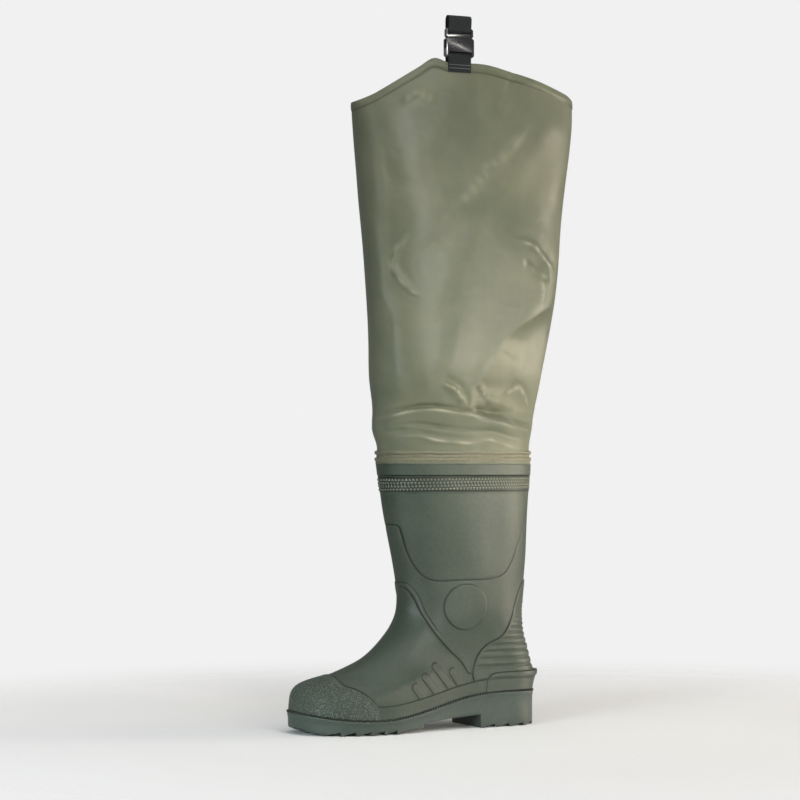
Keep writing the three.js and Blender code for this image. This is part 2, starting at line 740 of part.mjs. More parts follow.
function strapTab() {
  const outside = seat + half;
  const inside = -rimWall - seat - half;
  return webbing([
    [outside, -tabDrop], [outside, tabBarZ - 6],
    ...arc(barY, tabBarZ, turnRadius, 0, 1, 8),
    [inside, tabBarZ - 6], [inside, -tabInside],
  ]);
}

function beltStrap() {
  const rise = barY - buckleThickness / 2 - gap - half;
  const loop = 4.8;
  const crown = strapLoop - loop - half;
  return webbing([
    [rise + 0.6, -strapInside], [rise, 0], [rise, 30],
    ...arc(rise + loop, crown, loop, 1, 0, 8),
    [barY + turnRadius, strapBarZ + 3],
    ...arc(barY, strapBarZ, turnRadius, 0, -1, 8),
    [barY - turnRadius, strapBarZ + 5],
  ], strapSlant);
}

// Block in the strap's frame, from one corner to the other
function block(fromX, toX, fromY, toY, fromZ, toZ) {
  const outline = [[fromX, fromZ], [toX, fromZ], [toX, toZ], [fromX, toZ]];
  return sidePrism(outline, fromY, toY);
}

function crossBar(centreZ, width) {
  const bar = new THREE.CylinderGeometry(barRadius, barRadius, width, 10);
  bar.rotateZ(Math.PI / 2);
  bar.translate(0, barY, centreZ);
  return fromGeometry(bar);
}

// Rectangle with cut corners, from one height to another
function buckleOutline(halfWidth, low, high, corner) {
  return [[-halfWidth + corner, low], [halfWidth - corner, low], [halfWidth, low + corner],
    [halfWidth, high - corner], [halfWidth - corner, high], [-halfWidth + corner, high],
    [-halfWidth, high - corner], [-halfWidth, low + corner]];
}

const prongThickness = 4;
const cavityX = strapWidth / 2 - 1.5;
const buckleTop = buckleFoot + buckleHeight;

function buckleBody() {
  const front = barY + buckleThickness / 2;
  const rear = barY - buckleThickness / 2;
  const slotTop = tabBarZ + turnRadius + half + gap;
  const shell = sidePrism(buckleOutline(buckleWidth / 2, buckleFoot, buckleTop, 2), rear, front);
  const slot = block(-strapWidth / 2 - gap, strapWidth / 2 + gap, rear - 1, front + 1, 0, slotTop);
  const room = prongThickness / 2 + gap;
  const cavity = block(-cavityX, cavityX, barY - room, barY + room, slotTop + 1.6, buckleTop + 1);
  const windows = block(-buckleWidth, buckleWidth, barY - room, barY + room,
    slotTop + 4, slotTop + 13.5);
  return shell.subtract(slot).subtract(cavity).subtract(windows)
    .add(crossBar(tabBarZ, strapWidth + 2));
}

function buckleProngs() {
  const low = buckleTop + gap;
  const high = low + prongHeight;
  const cheek = prongThickness / 2 + 1.5;
  const head = sidePrism(buckleOutline(buckleWidth / 2 - 0.6, low, high, 1.6),
    barY - cheek, barY + cheek);
  const slot = block(-strapWidth / 2 - gap, strapWidth / 2 + gap, barY - 9, barY + 9,
    strapBarZ - turnRadius - half - gap, high + 1);
  const tip = buckleFoot + 2 * barRadius + 9;
  const arms = [-1, 1].map((side) => {
    const outline = [[side * 4.5, low + 1], [side * 4.5, tip], [side * 8.5, tip],
      [side * 14.5, tip + 3.5], [side * 14.5, tip + 5], [side * 11, tip + 5.6], [side * 8.8, low + 1]];
    return sidePrism(side > 0 ? outline : outline.reverse(),
      barY - prongThickness / 2, barY + prongThickness / 2);
  });
  return joined([head.subtract(slot), crossBar(strapBarZ, strapWidth + 2), ...arms]);
}

// The list of pieces, each with its own material
const olive = { color: 0x3e4430, roughness: 0.55, metalness: 0 };
const cloth = { color: 0x6a6a52, roughness: 0.45, metalness: 0 };
const pale = { color: 0x9a9a76, roughness: 0.8, metalness: 0 };
const black = { color: 0x17191a, roughness: 0.8, metalness: 0 };
const gloss = { color: 0x0d0e10, roughness: 0.25, metalness: 0 };

const wader = new THREE.Group();

function addPiece(group, name, solid, finish) {
  const mesh = new THREE.Mesh(toGeometry(solid), new THREE.MeshStandardMaterial(finish));
  mesh.name = name;
  group.add(mesh);
}

addPiece(wader, 'outsole', outsole(), olive);
addPiece(wader, 'boot_upper', bootUpper(), olive);
addPiece(wader, 'insole', insole(), pale);
addPiece(wader, 'leg', leg(), cloth);
addPiece(wader, 'joint_band', jointBand(), olive);

// The strap's frame stands on the rim, square to the panel
const strapGroup = new THREE.Group();
const seatPoint = legRing(strapTurn, 1, hemStep);
const beside = legRing(strapTurn + 0.01, 1, hemStep).sub(legRing(strapTurn - 0.01, 1, hemStep));
strapGroup.position.copy(seatPoint);
strapGroup.rotation.z = Math.atan2(beside.y, beside.x);
wader.add(strapGroup);
addPiece(strapGroup, 'strap_tab', strapTab(), black);
addPiece(strapGroup, 'belt_strap', beltStrap(), black);
addPiece(strapGroup, 'buckle_body', buckleBody(), gloss);
addPiece(strapGroup, 'buckle_prongs', buckleProngs(), gloss);

export default wader;
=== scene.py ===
import bpy
import math
import numpy as np
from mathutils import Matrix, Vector


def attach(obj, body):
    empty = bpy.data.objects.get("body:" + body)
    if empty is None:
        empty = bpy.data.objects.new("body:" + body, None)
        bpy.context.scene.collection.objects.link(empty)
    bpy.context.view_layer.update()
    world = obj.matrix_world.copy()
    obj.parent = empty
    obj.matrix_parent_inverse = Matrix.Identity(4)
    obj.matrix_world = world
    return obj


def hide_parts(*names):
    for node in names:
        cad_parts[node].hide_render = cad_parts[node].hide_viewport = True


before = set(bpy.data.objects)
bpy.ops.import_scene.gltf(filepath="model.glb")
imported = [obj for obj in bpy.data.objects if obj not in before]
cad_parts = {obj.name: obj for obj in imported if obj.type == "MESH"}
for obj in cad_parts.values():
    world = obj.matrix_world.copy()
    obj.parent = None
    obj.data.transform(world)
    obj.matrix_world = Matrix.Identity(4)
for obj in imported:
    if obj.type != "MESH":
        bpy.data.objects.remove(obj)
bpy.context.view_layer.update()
mm = 0.001

# camera, floor and light
camera = dict(aim=(132, 0), distance=2738, height=302, bearing=152, lens=107.64, lift=65 / 800)
floor = dict(size=6.0, colour=(0.86, 0.86, 0.85), solid=0.25, gone=1.0)  # metres; it fades into the backdrop
backdrop = dict(seen=0.88, light=0.3)  # how bright the pale room looks, and how much it lights
lights = [
    # name, place, aim, size, spread in degrees, watts, colour
    ("warmSide", (-2.15, 0.72, 0.4), (0.02, 0, 0.42), 0.8, 180, 40, (1.0, 0.87, 0.72)),
    ("softKey", (0.55, 2.5, 2.0), (0.06, 0, 0.35), 1.3, 180, 13, (1.0, 0.985, 0.95)),
    ("legKey", (0.2, 2.9, 0.9), (0.03, 0, 0.45), 0.8, 30, 1.7, (1.0, 0.97, 0.9)),
    ("collarGlow", (-1.3, 2.1, 0.42), (-0.03, 0.03, 0.30), 0.35, 14, 0.42, (1.0, 0.9, 0.82)),
    ("coolWindow", (2.0, 1.0, 0.5), (0.25, 0, 0.06), 0.7, 40, 1.5, (0.8, 0.93, 1.0)),
    ("topSoft", (0.1, 0.5, 2.7), (0.05, 0, 0.3), 1.6, 180, 24, (1.0, 1.0, 1.0)),
]


def deselect():
    if bpy.context.object and bpy.context.object.mode != 'OBJECT':
        bpy.ops.object.mode_set(mode='OBJECT')
    bpy.ops.object.select_all(action='DESELECT')


def aimAt(thing, target):
    thing.rotation_euler = (Vector(target) - thing.location).to_track_quat('-Z', 'Y').to_euler()


def placeCamera():
    turn = math.radians(camera["bearing"])
    toCamera = Vector((math.sin(turn), -math.cos(turn), 0))
    aim = Vector((camera["aim"][0], camera["aim"][1], 0)) * mm
    deselect()
    bpy.ops.object.camera_add(location=aim + toCamera * camera["distance"] * mm)
    view = bpy.context.object
    view.location.z = camera["height"] * mm
    aimAt(view, (aim.x, aim.y, camera["height"] * mm))
    view.data.lens = camera["lens"]
    view.data.sensor_width = 36
    view.data.shift_y = camera["lift"]  # the picture's middle lies above the level line
    view.data.dof.use_dof = False
    bpy.context.scene.camera = view


def newMaterial(name):
    material = bpy.data.materials.new(name)
    material.use_nodes = True
    nodes = material.node_tree.nodes
    return material, nodes, material.node_tree.links, nodes["Principled BSDF"]


def placeFloorAndLight():
    deselect()
    bpy.ops.mesh.primitive_plane_add(size=floor["size"], location=(0, 0, 0))
    ground = bpy.context.object
    ground.name = "studioFloor"
    material, nodes, links, shader = newMaterial("paleFloor")
    shader.inputs["Base Color"].default_value = (*floor["colour"], 1)
    shader.inputs["Roughness"].default_value = 0.9
    reach = nodes.new('ShaderNodeVectorMath')
    reach.operation = 'LENGTH'
    links.new(nodes.new('ShaderNodeTexCoord').outputs["Object"], reach.inputs[0])
    fade = nodes.new('ShaderNodeMapRange')
    fade.interpolation_type = 'SMOOTHSTEP'
    for socket, number in (("From Min", floor["solid"]), ("From Max", floor["gone"]), ("To Min", 1), ("To Max", 0)):
        fade.inputs[socket].default_value = number
    links.new(reach.outputs["Value"], fade.inputs["Value"])
    links.new(fade.outputs["Result"], shader.inputs["Alpha"])
    ground.data.materials.append(material)
    world = bpy.data.worlds.new("studio")
    bpy.context.scene.world = world
    world.use_nodes = True
    nodes, links = world.node_tree.nodes, world.node_tree.links
    room = nodes["Background"]
    room.inputs["Color"].default_value = (1, 1, 1, 1)
    brightness = nodes.new('ShaderNodeMapRange')  # the room is seen brighter than it lights
    brightness.inputs["To Min"].default_value = backdrop["light"]
    brightness.inputs["To Max"].default_value = backdrop["seen"]
    links.new(nodes.new('ShaderNodeLightPath').outputs["Is Camera Ray"], brightness.inputs["Value"])
    links.new(brightness.outputs["Result"], room.inputs["Strength"])
    bpy.context.scene.view_settings.view_transform = 'Standard'
    for name, place, aim, size, spread, watts, colour in lights:
        bpy.ops.object.light_add(type='AREA', location=place)
        lamp = bpy.context.object
        lamp.name = name
        lamp.data.shape = 'DISK'
        lamp.data.size = size
        lamp.data.energy = watts
        lamp.data.color = colour
        lamp.data.spread = math.radians(spread)
        aimAt(lamp, aim)


placeCamera()
placeFloorAndLight()
print("camera, floor and lights placed")


# the wader's own sizes, in mm
sole = dict(length=305, heelToBack=39, ballWidth=110, heelWidth=76, heelHeight=40.5, fore=16, toeLift=9,
            overhang=1.8)
boot = dict(ankleWidth=90, shaftWidth=109, height=303, wall=2.5, gap=0.3)
cloth = dict(peak=763, depth=290, width=97, wall=1.0, flare=26)
joint = dict(spigot=13, inset=2.3, spigotWall=2)

planRows = [  # share of the sole, half width, middle, as shares of half the ball width
    (0, 76 / 110 * 0.98, 0), (0.15, 76 / 110 * 0.97, 0.01), (0.3, 76 / 110 * 0.92, 0.045),
    (0.42, 76 / 110 * 0.96, 0.08), (0.55, 0.78, 0.09), (0.65, 0.91, 0.055), (0.74, 0.985, -0.01),
    (0.82, 1, -0.06), (0.9, 1, -0.12), (1, 1, -0.18)]
bootRows = [  # level, back, front, nose, tail, width from ankle to shaft
    (0, 0, 1, 0.25, 0.12, -0.7), (0.035, -0.001, 0.997, 0.25, 0.122, -0.7),
    (0.075, -0.004, 0.991, 0.26, 0.126, -0.68), (0.105, 0, 0.976, 0.31, 0.132, -0.66),
    (0.13, 0.006, 0.946, 0.4, 0.14, -0.62), (0.15, 0.01, 0.905, 0.48, 0.148, -0.57),
    (0.17, 0.015, 0.85, 0.51, 0.155, -0.52), (0.195, 0.02, 0.793, 0.49, 0.165, -0.45),
    (0.225, 0.028, 0.735, 0.43, 0.18, -0.36), (0.26, 0.035, 0.685, 0.36, 0.2, -0.26),
    (0.3, 0.038, 0.639, 0.31, 0.225, -0.14), (0.345, 0.039, 0.601, 0.28, 0.248, -0.04),
    (0.4, 0.036, 0.577, 0.27, 0.265, 0), (0.48, 0.03, 0.573, 0.271, 0.271, 0.12),
    (0.6, 0.022, 0.588, 0.283, 0.283, 0.35), (0.72, 0.018, 0.609, 0.295, 0.295, 0.6),
    (0.84, 0.0135, 0.631, 0.308, 0.308, 0.84), (1, 0.005, 0.655, 0.325, 0.325, 1)]
legRows = [  # share of the leg's height, middle, half depth, half width
    (0, 0.425, 0.684, 1.12), (0.03, 0.428, 0.69, 1.13), (0.06, 0.438, 0.695, 1.16),
    (0.1, 0.432, 0.7, 1.15), (0.15, 0.418, 0.706, 1.14), (0.22, 0.405, 0.738, 1.14),
    (0.3, 0.378, 0.768, 1.14), (0.4, 0.358, 0.812, 1.12), (0.5, 0.35, 0.847, 1.1),
    (0.6, 0.348, 0.879, 1.08), (0.7, 0.342, 0.915, 1.06), (0.82, 0.335, 0.962, 1.03),
    (0.92, 0.331, 0.996, 1), (1, 0.331, 1, 1)]
rimRows = [  # share from back to front, outer and inner rim height
    (0, -0.068, -0.068), (0.05, -0.058, -0.082), (0.12, -0.05, -0.098), (0.225, -0.036, -0.113),
    (0.37, -0.02, -0.13), (0.49, -0.008, -0.136), (0.6, -0.008, -0.136), (0.66, -0.009, -0.134),
    (0.72, 0, -0.131), (0.78, -0.024, -0.126), (0.88, -0.064, -0.116), (0.95, -0.091, -0.108),
    (1, -0.107, -0.107)]
soleBack = -sole["heelToBack"]
soleFront = sole["length"] + soleBack


def along(share):
    return soleBack + sole["length"] * share


def smooth(low, high, value):
    t = np.clip((value - low) / (high - low), 0, 1)
    return t * t * (3 - 2 * t)


def curve(rows, column, at):
    # a smooth line through one column of a table, read by the first column
    x = np.array([row[0] for row in rows], float)
    y = np.array([row[column] for row in rows], float)
    slope = np.empty_like(y)
    slope[1:-1] = (y[2:] - y[:-2]) / (x[2:] - x[:-2])
    slope[0] = (y[1] - y[0]) / (x[1] - x[0])
    slope[-1] = (y[-1] - y[-2]) / (x[-1] - x[-2])
    at = np.clip(at, x[0], x[-1])
    i = np.clip(np.searchsorted(x, at, side='right') - 1, 0, len(x) - 2)
    span = x[i + 1] - x[i]
    t = (at - x[i]) / span
    rise = 2 * t ** 3 - 3 * t ** 2 + 1
    return (rise * y[i] + (1 - rise) * y[i + 1] + (t ** 3 - 2 * t ** 2 + t) * span * slope[i]
            + (t ** 3 - t ** 2) * span * slope[i + 1])


def jointHeight(x):
    share = (x - soleBack) / sole["length"]
    rise = 1 - smooth(0.19, 0.72, share)
    toe = np.clip((share - 0.72) / 0.28, 0, 1.05)
    back = np.clip(1 - share / 0.12, 0, 1)
    return sole["fore"] + (sole["heelHeight"] - sole["fore"]) * rise + sole["toeLift"] * toe ** 2.4 - 2 * back ** 2


def roundEnd(distance, length):
    t = np.clip(1 - distance / length, 0, 1)
    return np.sqrt(1 - t * t)


def bootPoint(turn, level, grow=0.0):
    # turn runs from the back along the outer side to the toe (0.5) and back along the inner side
    angle = turn * 2 * math.pi
    low = np.clip(level, 0, 1)
    back = along(curve(bootRows, 1, low)) + sole["overhang"] - grow
    front = along(curve(bootRows, 2, low)) - sole["overhang"] + grow
    x = back + (front - back) * (1 - np.cos(angle)) / 2
    share = (x - soleBack) / sole["length"]
    shaft = smooth(0.07, 0.42, level)
    half = sole["ballWidth"] / 2
    plan = curve(planRows, 1, share) * half - sole["overhang"]
    leg = (boot["ankleWidth"] + (boot["shaftWidth"] - boot["ankleWidth"]) * curve(bootRows, 5, low)) / 2
    flat = plan * (1 - 0.25 * low)
    body = flat + (leg - flat) * shaft + grow
    nose = roundEnd(front - x, curve(bootRows, 3, low) * sole["length"])
    tail = roundEnd(x - back, curve(bootRows, 4, low) * sole["length"])
    middle = curve(planRows, 2, share) * half * (1 - shaft)
    side = np.where(np.sin(angle) < 0, -1.0, 1.0)
    z = (jointHeight(x) + boot["gap"]) * np.maximum(1 - level, 0) + boot["height"] * level
    return np.stack([x, middle + side * body * nose * tail, z], -1)


def outward(pointAt, turn, level):
    # unit normals of a surface given by a function of turn and level
    step = 0.004
    around = pointAt(turn + step, level) - pointAt(turn - step, level)
    low = np.clip(level - step, 0, 1 - 2 * step)
    up = pointAt(turn, low + 2 * step) - pointAt(turn, low)
    normal = np.cross(up, around)
    return normal / np.maximum(np.linalg.norm(normal, axis=-1, keepdims=True), 1e-9)


def bootNormal(turn, level):
    normal = outward(bootPoint, turn, level)
    flat = smooth(0.06, 0.0, level)[..., None]
    normal = normal * (1 - flat * np.array([0, 0, 1.0]))
    return normal / np.linalg.norm(normal, axis=-1, keepdims=True)


def distanceToLine(x, z, points, closed=False):
    # distance to a line of points, and on which side of it (positive on the left)
    ends = list(zip(points[:-1], points[1:])) + ([(points[-1], points[0])] if closed else [])
    best = np.full(x.shape, 1e9)
    side = np.ones(x.shape)
    place = np.zeros(x.shape)
    for i, (a, b) in enumerate(ends):
        dx, dz = b[0] - a[0], b[1] - a[1]
        t = np.clip(((x - a[0]) * dx + (z - a[1]) * dz) / (dx * dx + dz * dz), 0, 1)
        d = np.hypot(x - a[0] - t * dx, z - a[1] - t * dz)
        near = d < best
        best = np.where(near, d, best)
        side = np.where(near, np.sign(dx * (z - a[1]) - dz * (x - a[0])), side)
        place = np.where(near, (i + t) / len(ends), place)
    return best, side, place


def inside(x, z, outline):
    # signed distance to a closed outline, positive inside
    best, _, _ = distanceToLine(x, z, outline, closed=True)
    odd = np.zeros(x.shape, bool)
    for a, b in zip(outline, outline[1:] + outline[:1]):
        cross = (a[1] > z) != (b[1] > z)
        run = b[1] - a[1] if b[1] != a[1] else 1e-9
        odd ^= cross & (x < (b[0] - a[0]) * (z - a[1]) / run + a[0])
    return np.where(odd, best, -best)


def rounded(points, cuts=6):
    # a smooth line through a few points
    p = np.array(points, float)
    p = np.vstack([2 * p[0] - p[1], p, 2 * p[-1] - p[-2]])
    line = []
    for i in range(1, len(p) - 2):
        for k in range(cuts):
            t = k / cuts
            line.append(tuple(0.5 * (2 * p[i] + (p[i + 1] - p[i - 1]) * t
                        + (2 * p[i - 1] - 5 * p[i] + 4 * p[i + 1] - p[i + 2]) * t * t
                        + (3 * p[i] - p[i - 1] - 3 * p[i + 1] + p[i + 2]) * t ** 3)))
    return line + [tuple(p[-2])]


def meshPoints(piece):
    points = np.empty(len(piece.data.vertices) * 3)
    piece.data.vertices.foreach_get("co", points)
    return points.reshape(-1, 3)


def setAttribute(piece, name, values):
    piece.data.attributes.new(name, 'FLOAT', 'POINT').data.foreach_set("value", values)


def gridPiece(name, columns, rows, place, seam=True):
    # a grid primitive whose points are then set on the surface; its own UV map stays
    deselect()
    bpy.ops.mesh.primitive_grid_add(x_subdivisions=columns, y_subdivisions=rows, size=2)
    piece = bpy.context.object
    piece.name = piece.data.name = name
    flat = meshPoints(piece)
    u = np.rint((flat[:, 0] + 1) / 2 * columns).astype(int)
    v = np.rint((flat[:, 1] + 1) / 2 * rows).astype(int)
    piece.data.vertices.foreach_set("co", (place(u, v) * mm).ravel())
    piece.data.update()
    bpy.ops.object.mode_set(mode='EDIT')
    bpy.ops.mesh.select_all(action='SELECT')
    if seam:
        bpy.ops.mesh.remove_doubles(threshold=0.00001)
    bpy.ops.mesh.normals_make_consistent(inside=False)
    bpy.ops.object.mode_set(mode='OBJECT')
    return piece


def setUv(piece, scaleU, scaleV):
    # the grid's unit UV map, stretched to millimetres over 10
    layer = piece.data.uv_layers.active.data
    uv = np.empty(len(layer) * 2)
    layer.foreach_get("uv", uv)
    uv = uv.reshape(-1, 2) * np.array([scaleU, scaleV])
    layer.foreach_set("uv", uv.ravel())


def finishPiece(piece, material, angle=None):
    deselect()
    piece.select_set(True)
    bpy.context.view_layer.objects.active = piece
    if angle is None:
        bpy.ops.object.shade_smooth()
    else:
        bpy.ops.object.shade_smooth_by_angle(angle=math.radians(angle))
    piece.data.materials.clear()
    piece.data.materials.append(material)
    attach(piece, "root")


# materials
def node(nodes, kind, **values):
    made = nodes.new(kind)
    for key, value in values.items():
        if hasattr(made, key):
            setattr(made, key, value)
        else:
            made.inputs[key].default_value = value
    return made


def mixColours(nodes, links, factor, first, second):
    # the first colour may be plain numbers or another node's output
    mix = nodes.new('ShaderNodeMix')
    mix.data_type = 'RGBA'
    if isinstance(first, tuple):
        mix.inputs["A"].default_value = (*first, 1)
    else:
        links.new(first, mix.inputs["A"])
    mix.inputs["B"].default_value = (*second, 1)
    links.new(factor, mix.inputs["Factor"])
    return mix.outputs["Result"]


def ramp(nodes, links, value, low, high, outLow=0.0, outHigh=1.0, kind='LINEAR'):
    made = nodes.new('ShaderNodeMapRange')
    made.interpolation_type = kind
    for socket, number in (("From Min", low), ("From Max", high), ("To Min", outLow), ("To Max", outHigh)):
        made.inputs[socket].default_value = number
    links.new(value, made.inputs["Value"])
    return made.outputs["Result"]


# line is how dark the painted shade in the moulded lines and between the studs is, as a share of the dark colour
bootFinish = dict(dark=(0.022, 0.033, 0.022), light=(0.042, 0.058, 0.038), dust=(0.15, 0.19, 0.155),
                  line=0.3, gloss=0.42, roughLow=0.44, roughHigh=0.56, grain=0.00022, capGrain=0.0012)
# lines and steps of the shell that the shader sharpens: height of the step, depth of the line, in mm; the depth also
# sets how dark the line's painted shade is
sharpened = dict(capEdge=(0.6, 0.5), foxingEdge=(0.5, 0.45), cupEdge=(0.7, 0.4), panelEdge=(0.5, 0.7),
                 discEdge=(0.8, 0.25), beadEdge=(0.5, 0.45), barEdge=(0.25, 0.45), shaftEdge=(0.15, 0.7),
                 bandEdge=(0.0, 0.6), collarEdge=(0.5, 0.5))


def mathNode(nodes, links, operation, first, second=None):
    made = nodes.new('ShaderNodeMath')
    made.operation = operation
    for socket, value in zip(made.inputs, (first, second)):
        if value is None:
            continue
        if isinstance(value, (int, float)):
            socket.default_value = value
        else:
            links.new(value, socket)
    return made.outputs[0]


def softStep(nodes, links, value, low, high, outLow=0.0, outHigh=1.0):
    return ramp(nodes, links, value, low, high, outLow, outHigh, 'SMOOTHSTEP')


def bumped(nodes, links, height, distance, strength=1.0, normal=None):
    bump = nodes.new('ShaderNodeBump')
    bump.inputs["Distance"].default_value = distance
    bump.inputs["Strength"].default_value = strength
    links.new(height, bump.inputs["Height"])
    if normal is not None:
        links.new(normal, bump.inputs["Normal"])
    return bump.outputs["Normal"]


def bootRubber(name, shell=False, dark=None, light=None):
    material, nodes, links, shader = newMaterial(name)
    place = nodes.new('ShaderNodeTexCoord').outputs["Object"]
    clouds = node(nodes, 'ShaderNodeTexNoise', Scale=11.0, Detail=5.0, Roughness=0.6)
    fine = node(nodes, 'ShaderNodeTexNoise', Scale=950.0, Detail=2.0)
    speck = node(nodes, 'ShaderNodeTexNoise', Scale=820.0, Detail=1.0, Roughness=0.5)
    mottle = node(nodes, 'ShaderNodeTexNoise', Scale=260.0, Detail=2.0)
    for texture in (clouds, fine, speck, mottle):
        links.new(place, texture.inputs["Vector"])
    tone = mathNode(nodes, links, 'ADD', ramp(nodes, links, clouds.outputs["Fac"], 0.3, 0.7, 0.0, 0.7),
                    ramp(nodes, links, mottle.outputs["Fac"], 0.35, 0.65, 0.0, 0.3))
    colour = mixColours(nodes, links, tone, dark or bootFinish["dark"], light or bootFinish["light"])
    normal = None
    if shell:
        # the toe cap's coarse grain, where the shell's attribute says
        cap = node(nodes, 'ShaderNodeAttribute', attribute_name="capEdge").outputs["Fac"]
        dotted = mathNode(nodes, links, 'MULTIPLY', ramp(nodes, links, speck.outputs["Fac"], 0.47, 0.6),
                          softStep(nodes, links, cap, 0.5, 2.0))
        colour = mixColours(nodes, links, mathNode(nodes, links, 'MULTIPLY', dotted, 0.75), colour,
                            bootFinish["dust"])
        normal = bumped(nodes, links, dotted, bootFinish["capGrain"])
        # moulded steps and lines, from their distances in mm; the lines are darkened with painted shade
        height = paintedShade = None
        for name, (step, depth) in sharpened.items():
            distance = node(nodes, 'ShaderNodeAttribute', attribute_name=name).outputs["Fac"]
            line = softStep(nodes, links, mathNode(nodes, links, 'ABSOLUTE', distance), 0.35, 1.0, 1.0, 0.0)
            rise = mathNode(nodes, links, 'SUBTRACT', softStep(nodes, links, distance, -0.5, 0.5, 0.0, step),
                            mathNode(nodes, links, 'MULTIPLY', line, depth))
            height = rise if height is None else mathNode(nodes, links, 'ADD', height, rise)
            shade = mathNode(nodes, links, 'MULTIPLY', line, min(1.0, depth * 1.5))
            paintedShade = shade if paintedShade is None else mathNode(nodes, links, 'MAXIMUM', paintedShade, shade)
        # the ground between the studs of the relief band lies in shade
        ground = node(nodes, 'ShaderNodeAttribute', attribute_name="bandEdge").outputs["Fac"]
        paintedShade = mathNode(nodes, links, 'MAXIMUM', paintedShade, softStep(nodes, links, ground, -0.3, 0.5, 0.0, 0.6))
        # painted shade: the lines and the ground between the studs are mixed towards a darker rubber colour
        colour = mixColours(nodes, links, paintedShade, colour, [c * bootFinish["line"] for c in bootFinish["dark"]])
        normal = bumped(nodes, links, height, mm, normal=normal)
    links.new(colour, shader.inputs["Base Color"])
    links.new(ramp(nodes, links, clouds.outputs["Fac"], 0.3, 0.7, bootFinish["roughLow"],
                   bootFinish["roughHigh"]), shader.inputs["Roughness"])
    shader.inputs["Specular IOR Level"].default_value = bootFinish["gloss"]
    links.new(bumped(nodes, links, fine.outputs["Fac"], bootFinish["grain"], 0.6, normal), shader.inputs["Normal"])
    return material


# the pale colour and its share at the end are the painted highlight along the crease crests
clothFinish = dict(dark=(0.098, 0.116, 0.070), light=(0.168, 0.176, 0.110), inner=(0.40, 0.40, 0.29),
                   hemLine=(0.05, 0.058, 0.036), rough=(0.36, 0.48), weave=0.00022, crumple=0.003,
                   flatness=2.4, crestHighlightColour=(0.40, 0.39, 0.29), crestHighlightStrength=0.6, woven=0.3)


def coatedCloth(name, outer=True):
    material, nodes, links, shader = newMaterial(name)
    place = nodes.new('ShaderNodeTexCoord')
    clouds = node(nodes, 'ShaderNodeTexNoise', Scale=9.0, Detail=5.0, Roughness=0.62)
    crumple = node(nodes, 'ShaderNodeTexNoise', Scale=21.0, Detail=5.0, Roughness=0.45, Distortion=0.8)
    for texture in (clouds, crumple):
        links.new(place.outputs["Object"], texture.inputs["Vector"])
    threads = node(nodes, 'ShaderNodeTexBrick', Scale=1.0)
    threads.offset = 0.5
    threads.inputs["Brick Width"].default_value = 0.11
    threads.inputs["Row Height"].default_value = 0.055
    threads.inputs["Mortar Size"].default_value = 0.012
    threads.inputs["Color1"].default_value = (1, 1, 1, 1)
    threads.inputs["Color2"].default_value = (0.8, 0.8, 0.8, 1)
    threads.inputs["Mortar"].default_value = (0, 0, 0, 1)
    links.new(place.outputs["UV"], threads.inputs["Vector"])
    if outer:
        colour = mixColours(nodes, links, ramp(nodes, links, clouds.outputs["Fac"], 0.32, 0.68),
                            clothFinish["dark"], clothFinish["light"])
        links.new(ramp(nodes, links, clouds.outputs["Fac"], 0.3, 0.7, *clothFinish["rough"]),
                  shader.inputs["Roughness"])
        # welded line under the hem
        hem = node(nodes, 'ShaderNodeAttribute', attribute_name="hemEdge").outputs["Fac"]
        line = softStep(nodes, links, mathNode(nodes, links, 'ABSOLUTE', hem), 0.3, 0.9, 0.75, 0.0)
        colour = mixColours(nodes, links, line, colour, clothFinish["hemLine"])
        # painted highlight: the colour turns pale along the sharp crests, and softly along the gentle ridges
        crest = node(nodes, 'ShaderNodeAttribute', attribute_name="creaseHighlight").outputs["Fac"]
        woven = nodes.new('ShaderNodeMix')
        woven.data_type = 'RGBA'
        woven.blend_type = 'MULTIPLY'
        woven.inputs["Factor"].default_value = clothFinish["woven"]
        links.new(colour, woven.inputs["A"])
        links.new(threads.outputs["Color"], woven.inputs["B"])
        colour = woven.outputs["Result"]
        colour = mixColours(nodes, links, mathNode(nodes, links, 'MULTIPLY', crest, clothFinish["crestHighlightStrength"]), colour,
                            clothFinish["crestHighlightColour"])
    else:
        inner = clothFinish["inner"]
        colour = mixColours(nodes, links, ramp(nodes, links, clouds.outputs["Fac"], 0.3, 0.7),
                            tuple(c * 0.88 for c in inner), inner)
        shader.inputs["Roughness"].default_value = 0.8
    links.new(colour, shader.inputs["Base Color"])
    soft = bumped(nodes, links, crumple.outputs["Fac"], clothFinish["crumple"], 0.7)
    links.new(bumped(nodes, links, threads.outputs["Color"], clothFinish["weave"], 0.5, soft), shader.inputs["Normal"])
    return material


def plainFinish(name, dark, light, rough, scale=60.0, bumpDepth=0.0001, coat=0.0):
    material, nodes, links, shader = newMaterial(name)
    place = nodes.new('ShaderNodeTexCoord').outputs["Object"]
    clouds = node(nodes, 'ShaderNodeTexNoise', Scale=scale, Detail=4.0)
    links.new(place, clouds.inputs["Vector"])
    links.new(mixColours(nodes, links, clouds.outputs["Fac"], dark, light), shader.inputs["Base Color"])
    shader.inputs["Roughness"].default_value = rough
    shader.inputs["Coat Weight"].default_value = coat
    shader.inputs["Coat Roughness"].default_value = 0.12
    links.new(bumped(nodes, links, clouds.outputs["Fac"], bumpDepth, 0.5), shader.inputs["Normal"])
    return material


